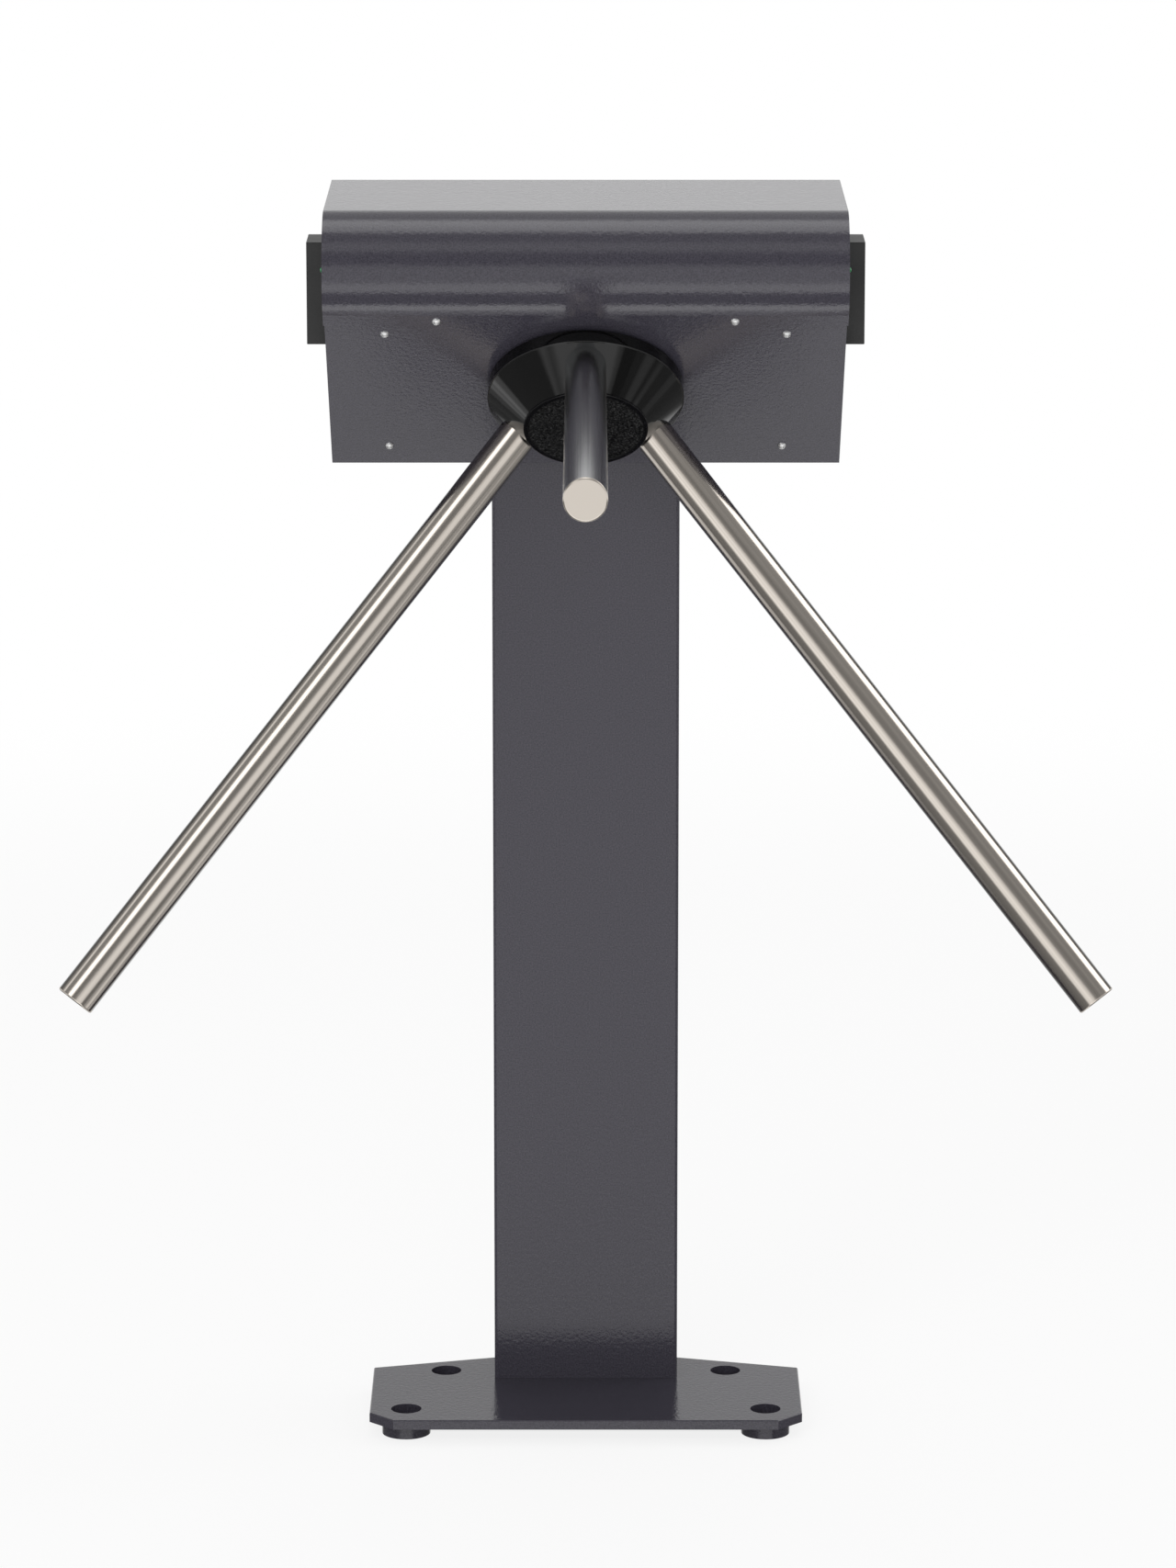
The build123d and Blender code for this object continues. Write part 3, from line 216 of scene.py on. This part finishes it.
def graphite_paint():
    """Grey powder coat: an even orange peel with finer specks in it."""
    material, tree, shader = new_material("graphite_paint")
    where = place_coordinates(tree)
    peel = noise(tree, where, PAINT_PEEL_SCALE, roughness=PAINT_PEEL_BREAKUP)
    speck = noise(tree, where, PAINT_SPECK_SCALE, roughness=PAINT_SPECK_BREAKUP)
    cloud = noise(tree, where, PAINT_CLOUD_SCALE)
    colour_by(tree, shader, speck, PAINT_DARK, PAINT_LIGHT, PAINT_SPECK_SPAN)
    gloss_by(tree, shader, cloud, PAINT_ROUGHNESS)
    coarse = bump(tree, peel, PAINT_PEEL_DEPTH)
    tree.links.new(bump(tree, speck, PAINT_SPECK_DEPTH, coarse), shader.inputs["Normal"])
    return material


# Stainless arm tubes
STEEL_DARK = (0.59, 0.54, 0.485)
STEEL_LIGHT = (0.67, 0.615, 0.555)
STEEL_GRAZING = (0.88, 0.94, 1.0)
TUBE_ROUGHNESS = (0.15, 0.19)
TUBE_MARK_WIDTH = 0.0008
TUBE_MARK_LENGTH = 0.4
TUBE_MARK_DETAIL = 3.0
TUBE_MARK_BREAKUP = 0.6
TUBE_MARK_DEPTH = 0.00001


def brushed_tube(name, axis):
    """Stainless tube polished along its length, so its marks run along the given axis."""
    material, tree, shader = new_material(name)
    mapping = tree.nodes.new("ShaderNodeMapping")
    mapping.vector_type = "TEXTURE"
    mapping.inputs["Location"].default_value = APEX
    mapping.inputs["Rotation"].default_value = axis.to_track_quat("Z", "Y").to_euler()
    mapping.inputs["Scale"].default_value = (TUBE_MARK_WIDTH, TUBE_MARK_WIDTH, TUBE_MARK_LENGTH)
    tree.links.new(place_coordinates(tree), mapping.inputs["Vector"])
    mark = noise(tree, mapping.outputs["Vector"], 1.0, TUBE_MARK_DETAIL, TUBE_MARK_BREAKUP)
    colour_by(tree, shader, mark, STEEL_DARK, STEEL_LIGHT)
    gloss_by(tree, shader, mark, TUBE_ROUGHNESS)
    tree.links.new(bump(tree, mark, TUBE_MARK_DEPTH), shader.inputs["Normal"])
    shader.inputs["Metallic"].default_value = 1.0
    shader.inputs["Specular Tint"].default_value = (*STEEL_GRAZING, 1)
    return material


# Black crinkle lacquer of the hub cap, with painted shade in the gaps between its grains and painted light on
# the grain tops
# Painted shade for the low gaps and painted light for the raised grain tops, both near black
CRINKLE_GAP_SHADE = (0.0004,) * 3
CRINKLE_GRAIN_TOP_LIGHT = (0.0016,) * 3
CRINKLE_ROUGHNESS = (0.08, 0.14)
CRINKLE_SPECULAR = 0.18
CRINKLE_FINE = 0.0006
CRINKLE_FINE_BREAKUP = 0.6
CRINKLE_FINE_DEPTH = 0.00003


def black_texture():
    """Black crinkle lacquer: painted shade in the gaps between grains and a painted lighter tone on the
    grains, whose relief catches the light.
    """
    material, tree, shader = new_material("black_texture")
    fine = noise(tree, place_coordinates(tree), 1 / CRINKLE_FINE, roughness=CRINKLE_FINE_BREAKUP)
    # Painted shade and light: the colour follows the relief, darker in the low gaps and lighter on the grain
    # tops
    colour_by(tree, shader, fine, CRINKLE_GAP_SHADE, CRINKLE_GRAIN_TOP_LIGHT)
    gloss_by(tree, shader, fine, CRINKLE_ROUGHNESS)
    tree.links.new(bump(tree, fine, CRINKLE_FINE_DEPTH), shader.inputs["Normal"])
    shader.inputs["Specular IOR Level"].default_value = CRINKLE_SPECULAR
    return material


# Plain finishes: how their grain is broken up, and the size of the patches in which their gloss varies
GRAIN_DETAIL = 3.0
GRAIN_BREAKUP = 0.6
GLOSS_PATCH = 0.03


def surface(name, dark, light, rough, grain, metallic=0.0, depth=0.0):
    """Material whose colour and relief vary with a fine grain and whose gloss varies broadly."""
    material, tree, shader = new_material(name)
    where = place_coordinates(tree)
    fine = noise(tree, where, 1 / grain, GRAIN_DETAIL, GRAIN_BREAKUP)
    broad = noise(tree, where, 1 / GLOSS_PATCH)
    colour_by(tree, shader, fine, dark, light)
    gloss_by(tree, shader, broad, rough)
    tree.links.new(bump(tree, fine, depth), shader.inputs["Normal"])
    shader.inputs["Metallic"].default_value = metallic
    return material


def non_metal(name, dark, light, rough, grain, depth=0.0):
    return surface(name, dark, light, rough, grain, depth=depth)


def metal(name, dark, light, rough, grain, depth=0.0):
    return surface(name, dark, light, rough, grain, metallic=1.0, depth=depth)


def grey(level):
    return (level, level, level)


# The plugs in the arm ends are of the same steel as the tubes, with a closer range of colour
PLUG_DARK = (0.615, 0.563, 0.505)
PLUG_LIGHT = (0.645, 0.592, 0.533)


def make_materials():
    """One finish for each material slot of the record: dark, light, roughness, grain size and its depth."""
    return {
        "graphite_paint": graphite_paint(),
        "black_texture": black_texture(),
        "black_gloss": non_metal("black_gloss", grey(0.002), grey(0.004), (0.04, 0.06), 0.0015, 0.000002),
        "reader_plastic": non_metal("reader_plastic", grey(0.014), grey(0.02), (0.4, 0.5), 0.0009, 0.00004),
        "reader_window": non_metal("reader_window", grey(0.006), grey(0.009), (0.05, 0.1), 0.002),
        "green_lamp": non_metal("green_lamp", (0.01, 0.17, 0.05), (0.02, 0.25, 0.08), (0.06, 0.12), 0.001),
        "grommet_rubber": non_metal("grommet_rubber", grey(0.012), grey(0.02), (0.55, 0.7), 0.001, 0.00005),
        "damper_plastic": non_metal("damper_plastic", grey(0.016), grey(0.024), (0.4, 0.5), 0.001, 0.00004),
        "coil_wrap": non_metal("coil_wrap", (0.28, 0.07, 0.02), (0.4, 0.12, 0.04), (0.25, 0.35), 0.0012),
        "board_green": non_metal("board_green", (0.015, 0.1, 0.04), (0.025, 0.14, 0.06), (0.28, 0.38), 0.003),
        "stainless_tube": metal("stainless_plug", PLUG_DARK, PLUG_LIGHT, (0.16, 0.19), 0.0006),
        "zinc_fastener": metal("zinc_fastener", grey(0.9), grey(0.98), (0.42, 0.5), 0.0008),
        "machined_steel": metal("machined_steel", grey(0.42), grey(0.52), (0.22, 0.36), 0.0012),
        "spring_steel": metal("spring_steel", grey(0.2), grey(0.3), (0.25, 0.4), 0.001),
        "plated_sheet": metal("plated_sheet", (0.5, 0.49, 0.45), (0.62, 0.61, 0.56), (0.28, 0.42), 0.003),
        "housing_alloy": metal("housing_alloy", grey(0.56), grey(0.66), (0.28, 0.4), 0.0015, 0.00003),
        "brass_standoff": metal("brass_standoff", (0.6, 0.45, 0.2), (0.72, 0.56, 0.28), (0.2, 0.32), 0.001),
    }


def dress(node, material):
    mesh = nodes[node].data
    mesh.materials.clear()
    mesh.materials.append(material)


def dress_nodes(looks):
    """Each node in its slot's finish, but marks along each arm and a smooth rim round the cap."""
    for subpart in record["subparts"]:
        dress(subpart["node"], looks[subpart["material_slot"]])
    for name, angle in ARM_ANGLES.items():
        dress(name, brushed_tube(f"{name}_steel", arm_axis(angle)))
    dress("hub_cap", looks["black_gloss"])


def add_piece(name, shape, material):
    """Object made of a finished shape, in one material."""
    bmesh.ops.recalc_face_normals(shape, faces=shape.faces)
    mesh = bpy.data.meshes.new(name)
    shape.to_mesh(mesh)
    shape.free()
    mesh.materials.append(material)
    piece = bpy.data.objects.new(name, mesh)
    scene.collection.objects.link(piece)
    return piece


# Discs across the hub's axis with a relief on their face

# Vertices of a disc's innermost ring, and how many more each further ring has
RING_STEP = 6


def on_slope(base, across, up, height):
    """Point at a place on a plane across the hub's axis, and a height over it."""
    return base + Vector((across, 0, 0)) + HUB_UP * up + HUB_AXIS * height


def disc_rings(shape, base, radius, ring_count, relief):
    """Rings of vertices on a disc's face, from its middle outwards."""
    rings = [[shape.verts.new(on_slope(base, 0, 0, relief(0, 0)))]]
    for ring in range(1, ring_count + 1):
        reach = radius * ring / ring_count
        corners = []
        for step in range(RING_STEP * ring):
            turn = 2 * math.pi * step / (RING_STEP * ring)
            across = reach * math.cos(turn)
            up = reach * math.sin(turn)
            corners.append(shape.verts.new(on_slope(base, across, up, relief(across, up))))
        rings.append(corners)
    return rings


def join_rings(shape, inner, outer, ring):
    """Triangles between two rings, one part of the turn at a time."""
    for part in range(RING_STEP):
        first_in = part * ring
        first_out = part * (ring + 1)
        for step in range(ring + 1):
            near = inner[(first_in + step) % len(inner)]
            left = outer[first_out + step]
            right = outer[(first_out + step + 1) % len(outer)]
            shape.faces.new((near, left, right))
            if step < ring:
                shape.faces.new((near, right, inner[(first_in + step + 1) % len(inner)]))


def below(corner, base, foot):
    """Point under a corner of a disc's face, at the foot's height over the base plane."""
    height = HUB_AXIS.dot(corner.co - base)
    return corner.co + HUB_AXIS * (foot - height)


def add_disc(shape, base, radius, ring_count, relief, foot):
    """Closed disc whose face has a relief over the base plane and whose underside is at the foot."""
    rings = disc_rings(shape, base, radius, ring_count, relief)
    for ring in range(ring_count):
        join_rings(shape, rings[ring], rings[ring + 1], ring)
    upper = rings[-1]
    lower = [shape.verts.new(below(corner, base, foot)) for corner in upper]
    for step in range(len(upper)):
        other = (step + 1) % len(upper)
        shape.faces.new((upper[step], lower[step], lower[other], upper[other]))
    shape.faces.new(lower)


# Grains of lacquer on the hub cap, which lie inside its smooth rim
CAP_RIM_HEIGHT = 0.0006
CAP_FACE_RADIUS = 0.0454
CAP_GRAIN_RINGS = 52
CAP_GRAIN_SIZE = 0.0027
CAP_GRAIN_FINER = 2.3
CAP_GRAIN_FINER_SHARE = 0.6
CAP_GRAIN_MIDDLE = 0.00028
CAP_GRAIN_SWING = 0.0006
CAP_GRAIN_FOOT = -0.0001


def grain_height(across, up):
    """Height of the crinkle above the cap's face."""
    place = Vector((across, up, 0)) / CAP_GRAIN_SIZE
    swell = perlin.noise(place) + CAP_GRAIN_FINER_SHARE * perlin.noise(place * CAP_GRAIN_FINER)
    return min(max(CAP_GRAIN_MIDDLE + CAP_GRAIN_SWING * swell, 0), CAP_RIM_HEIGHT)


def add_cap_grain(looks):
    """Raised grains of lacquer on the cap's face, inside its smooth rim."""
    rim = max(HUB_AXIS.dot(vertex.co - APEX) for vertex in nodes["hub_cap"].data.vertices)
    face = APEX + HUB_AXIS * (rim - CAP_RIM_HEIGHT)
    shape = bmesh.new()
    add_disc(shape, face, CAP_FACE_RADIUS, CAP_GRAIN_RINGS, grain_height, CAP_GRAIN_FOOT)
    grain = add_piece("cap_grain", shape, looks["black_texture"])
    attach(grain, "tripod")


# Tall heads of the casing screws, which cover the lower domes of the CAD screws
SCREW_DOME_RADIUS = 0.0035
SCREW_DOME_HEIGHT = 0.0023
SCREW_HEAD_RADIUS = 0.0036
SCREW_HEAD_HEIGHT = 0.0032
SCREW_HEAD_RINGS = 14
SCREW_HEAD_FOOT = -0.0001
SCREW_RECESS_WIDTH = 0.001
SCREW_RECESS_LENGTH = 0.0038
SCREW_RECESS_DEPTH = 0.0014


def screw_crowns(node):
    """Tops of a node's screws, left and right of the middle, in one or two rows along the slope."""
    corners = [vertex.co for vertex in nodes[node].data.vertices]
    crown = max(HUB_AXIS.dot(corner) for corner in corners)
    out = max(corner.x for corner in corners) - SCREW_DOME_RADIUS
    low = min(HUB_UP.dot(corner) for corner in corners) + SCREW_DOME_RADIUS
    high = max(HUB_UP.dot(corner) for corner in corners) - SCREW_DOME_RADIUS
    rows = (low, high) if high - low > SCREW_DOME_RADIUS else (low,)
    return [on_slope(Vector(), side * out, row, crown) for row in rows for side in (-1, 1)]


def screw_relief(across, up):
    """Height of a screw's head over the casing: a dome with a cross recess."""
    ball = (SCREW_HEAD_RADIUS**2 + SCREW_HEAD_HEIGHT**2) / (2 * SCREW_HEAD_HEIGHT)
    long = max(abs(across), abs(up))
    narrow = min(abs(across), abs(up))
    if long < SCREW_RECESS_LENGTH / 2 and narrow < SCREW_RECESS_WIDTH / 2:
        return SCREW_HEAD_HEIGHT - SCREW_RECESS_DEPTH
    return math.sqrt(ball**2 - across**2 - up**2) - ball + SCREW_HEAD_HEIGHT


def add_screw_heads(looks):
    shape = bmesh.new()
    for node in ("panel_screws", "cover_screws"):
        for crown in screw_crowns(node):
            seat = crown - HUB_AXIS * SCREW_DOME_HEIGHT
            add_disc(shape, seat, SCREW_HEAD_RADIUS, SCREW_HEAD_RINGS, screw_relief, SCREW_HEAD_FOOT)
    heads = add_piece("screw_heads", shape, looks["zinc_fastener"])
    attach(heads, "pedestal")


# Return springs inside the head, which the plungers press together
SPRING_WIRE_RADIUS = 0.0006
SPRING_WIRE_SIDES = 10
SPRING_TURNS = 4
SPRING_STEPS_PER_TURN = 32


def wire_ring(shape, middle, outward):
    """Vertices round the spring's wire, where it crosses the plane of the x axis and outward."""
    corners = []
    for side in range(SPRING_WIRE_SIDES):
        turn = 2 * math.pi * side / SPRING_WIRE_SIDES
        offset = outward * math.cos(turn) + Vector((1, 0, 0)) * math.sin(turn)
        corners.append(shape.verts.new(middle + offset * SPRING_WIRE_RADIUS))
    return corners


def coil(low, high):
    """Coil of round wire along the x axis that fills a box."""
    shape = bmesh.new()
    middle = (low + high) / 2
    coil_radius = (high.y - low.y) / 2 - SPRING_WIRE_RADIUS
    rise = high.x - low.x - 2 * SPRING_WIRE_RADIUS
    steps = SPRING_TURNS * SPRING_STEPS_PER_TURN
    rings = []
    for step in range(steps + 1):
        turn = 2 * math.pi * step / SPRING_STEPS_PER_TURN
        outward = Vector((0, math.cos(turn), math.sin(turn)))
        along = Vector((rise * (step / steps - 0.5), 0, 0))
        rings.append(wire_ring(shape, middle + along + outward * coil_radius, outward))
    for ring, following in zip(rings, rings[1:]):
        for side in range(SPRING_WIRE_SIDES):
            other = (side + 1) % SPRING_WIRE_SIDES
            shape.faces.new((ring[side], ring[other], following[other], following[side]))
    shape.faces.new(rings[0])
    shape.faces.new(rings[-1])
    return shape


def add_return_spring(looks, side):
    """Spring of round wire, evenly wound, that fills the box of the CAD spring on the left or right and rides
    on the pedestal.
    """
    node = f"{side}_return_spring"
    low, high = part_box(node)
    spring = add_piece(f"{side}_coil", coil(low, high), looks["spring_steel"])
    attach(spring, "pedestal")
    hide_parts(node)
    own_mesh(spring)


# Studio, with all angles in degrees
# The world that surfaces see, as levels by elevation: in front, at the sides and at the back
FRONT_LEVELS = (
    (-90, 1.0),
    (-85, 1.0),
    (-81, 2.2),
    (-71, 2.1),
    (-66, 0.25),
    (-43, 0.25),
    (-38, 1.85),
    (-24, 1.85),
    (-20, 1.1),
    (-9, 1.0),
    (10, 1.0),
    (18, 0.25),
    (32, 0.23),
    (45, 0.45),
    (62, 0.45),
    (81, 0.45),
    (86, 2.5),
)
SIDE_LEVELS = (
    (-90, 1.0),
    (-75, 0.5),
    (-58, 0.12),
    (-42, 0.12),
    (-30, 0.2),
    (-16, 0.2),
    (-7, 1.0),
    (9, 1.0),
    (20, 0.28),
    (45, 0.3),
    (62, 0.5),
    (75, 0.9),
    (90, 2.5),
)
BACK_LEVELS = (
    (-90, 1.0),
    (-80, 0.95),
    (-55, 0.7),
    (-16, 0.9),
    (-6, 0.95),
    (3, 1.0),
    (12, 0.82),
    (18, 0.79),
    (26, 0.56),
    (36, 0.57),
    (58, 0.72),
    (67, 2.5),
)
# No direction is darker than this
DARKEST = 0.12
# How far round a direction counts as in front or at the back: cosines of the azimuth
SECTOR_EDGES = (0.75, 0.92)
# Keeps the azimuth defined straight up and straight down
SHORTEST_RUN = 0.001
# Each soft box: azimuth clockwise from the back, elevation, inner and outer half angle, and level.
# A box with a level below zero is a dark screen
SOFT_BOXES = (
    (-144, 38.5, 7, 15, 1.9),
    (74, 35, 14, 21, 1.9),
    (-80, 38, 4, 9, 0.75),
    (180, 51, 4, 14, 0.5),
    (110, -34, 4, 9, 0.78),
    (122, -25, 3, 7.5, 0.3),
    (77, -43, 5, 9, 0.5),
    (84, -35, 3, 6.5, 0.15),
    (-78, -31, 5, 8, 0.55),
    (-70, -31, 5, 8, 0.6),
    (-62, -31, 5, 8, 0.2),
    (-141, -10, 4, 8, 0.5),
    (-154, -1, 5, 11, 0.2),
    (-149, -16, 3, 7, -0.3),
    (147, -14, 3, 7, -0.35),
    (140, -12, 3, 8, -0.4),
    (-33, 9, 5, 15, -0.7),
    (33, 9, 5, 15, -0.6),
    (-48, 23, 3, 10, -0.25),
    (46, 21, 3, 10, -0.35),
    (-26, -32, 4, 14, -0.5),
)


def heading(azimuth, elevation):
    turn = math.radians(azimuth)
    rise = math.radians(elevation)
    return Vector((math.sin(turn) * math.cos(rise), math.cos(turn) * math.cos(rise), math.sin(rise)))


def level_by_height(tree, height, levels):
    """Levels along a rising elevation, where height runs from 0, straight down, to 1."""
    ramp = tree.nodes.new("ShaderNodeValToRGB")
    tree.links.new(height, ramp.inputs["Fac"])
    stops = ramp.color_ramp.elements
    ready = len(stops)
    for index, (elevation, level) in enumerate(levels):
        place = (elevation + 90) / 180
        stop = stops[index] if index < ready else stops.new(place)
        stop.position = place
        stop.color = (level, level, level, 1)
    return ramp.outputs["Color"]


def within_box(tree, direction, azimuth, elevation, inner, outer):
    """One inside a soft box, falling to zero at its outer edge."""
    dot = tree.nodes.new("ShaderNodeVectorMath")
    dot.operation = "DOT_PRODUCT"
    tree.links.new(direction, dot.inputs[0])
    dot.inputs[1].default_value = heading(azimuth, elevation)
    edges = (math.cos(math.radians(outer)), math.cos(math.radians(inner)))
    return smooth_step(tree, dot.outputs["Value"], *edges)


def studio_level(tree):
    """Level that surfaces see in each direction."""
    direction = tree.nodes.new("ShaderNodeTexCoord").outputs["Generated"]
    split = tree.nodes.new("ShaderNodeSeparateXYZ")
    tree.links.new(direction, split.inputs["Vector"])
    rise = calculate(tree, "ARCSINE", split.outputs["Z"])
    height = spread(tree, rise, -math.pi / 2, math.pi / 2, 0, 1)
    level_run = calculate(tree, "MAXIMUM", calculate(tree, "COSINE", rise), SHORTEST_RUN)
    backward = calculate(tree, "DIVIDE", split.outputs["Y"], level_run)
    forward = calculate(tree, "MULTIPLY", backward, -1)
    in_front = smooth_step(tree, forward, *SECTOR_EDGES)
    behind = smooth_step(tree, backward, *SECTOR_EDGES)
    total = level_by_height(tree, height, SIDE_LEVELS)
    total = lean(tree, in_front, total, level_by_height(tree, height, FRONT_LEVELS))
    total = lean(tree, behind, total, level_by_height(tree, height, BACK_LEVELS))
    for *box, level in SOFT_BOXES:
        share = within_box(tree, direction, *box)
        total = calculate(tree, "ADD", total, calculate(tree, "MULTIPLY", share, level))
    return calculate(tree, "MAXIMUM", total, DARKEST)


def add_world():
    """Studio for the surfaces, and plain white for the camera."""
    world = bpy.data.worlds.new("studio")
    scene.world = world
    world.use_nodes = True
    tree = world.node_tree
    tree.nodes.clear()
    studio = tree.nodes.new("ShaderNodeBackground")
    tree.links.new(studio_level(tree), studio.inputs["Color"])
    backdrop = tree.nodes.new("ShaderNodeBackground")
    backdrop.inputs["Color"].default_value = (1, 1, 1, 1)
    shown = mix_shaders(
        tree, seen_directly(tree), studio.outputs["Background"], backdrop.outputs["Background"]
    )
    out = tree.nodes.new("ShaderNodeOutputWorld")
    tree.links.new(shown, out.inputs["Surface"])


FLOOR_RADIUS = 3.0
FLOOR_SIDES = 96
FLOOR_COLOUR = 0.95
FLOOR_FADE = (1.6, 2.8)
SHADOW_SHARE = 0.16


def pale_floor():
    """Matt white for the surfaces, and mostly plain white for the camera, all of it far out."""
    material = bpy.data.materials.new("pale_floor")
    material.use_nodes = True
    material.cycles.emission_sampling = "NONE"
    tree = material.node_tree
    tree.nodes.clear()
    away = tree.nodes.new("ShaderNodeVectorMath")
    away.operation = "LENGTH"
    tree.links.new(place_coordinates(tree), away.inputs[0])
    far = smooth_step(tree, away.outputs["Value"], *FLOOR_FADE)
    matt = tree.nodes.new("ShaderNodeBsdfDiffuse")
    matt.inputs["Color"].default_value = (*grey(FLOOR_COLOUR), 1)
    white = tree.nodes.new("ShaderNodeEmission")
    share = spread(tree, far, 0, 1, 1 - SHADOW_SHARE, 1)
    direct = mix_shaders(tree, share, matt.outputs["BSDF"], white.outputs["Emission"])
    shown = mix_shaders(tree, seen_directly(tree), matt.outputs["BSDF"], direct)
    out = tree.nodes.new("ShaderNodeOutputMaterial")
    tree.links.new(shown, out.inputs["Surface"])
    return material


def add_floor():
    """White floor that keeps the object's shadow and fades into the white background."""
    mesh = bpy.data.meshes.new("floor")
    shape = bmesh.new()
    bmesh.ops.create_circle(shape, cap_ends=True, radius=FLOOR_RADIUS, segments=FLOOR_SIDES)
    shape.to_mesh(mesh)
    shape.free()
    mesh.materials.append(pale_floor())
    floor = bpy.data.objects.new("floor", mesh)
    # Gloss shows the studio, which goes on below the horizon
    floor.visible_glossy = False
    scene.collection.objects.link(floor)


FILL_PLACE = Vector((-0.8, -4.0, 2.2))
FILL_TARGET = Vector((0, 0, 0.6))
FILL_WIDTH = 4.0
FILL_HEIGHT = 3.0
FILL_POWER = 52


def add_fill_lamp():
    """Soft lamp that lights surfaces but doesn't show in their gloss."""
    data = bpy.data.lights.new("front_fill", "AREA")
    data.shape = "RECTANGLE"
    data.size = FILL_WIDTH
    data.size_y = FILL_HEIGHT
    data.energy = FILL_POWER
    lamp = bpy.data.objects.new("front_fill", data)
    lamp.location = FILL_PLACE
    lamp.visible_glossy = False
    lamp.rotation_euler = (FILL_TARGET - FILL_PLACE).to_track_quat("-Z", "Y").to_euler()
    scene.collection.objects.link(lamp)


add_camera()
add_world()
add_floor()
looks = make_materials()
dress_nodes(looks)
add_cap_grain(looks)
add_screw_heads(looks)
add_return_spring(looks, "left")
add_return_spring(looks, "right")
add_fill_lamp()
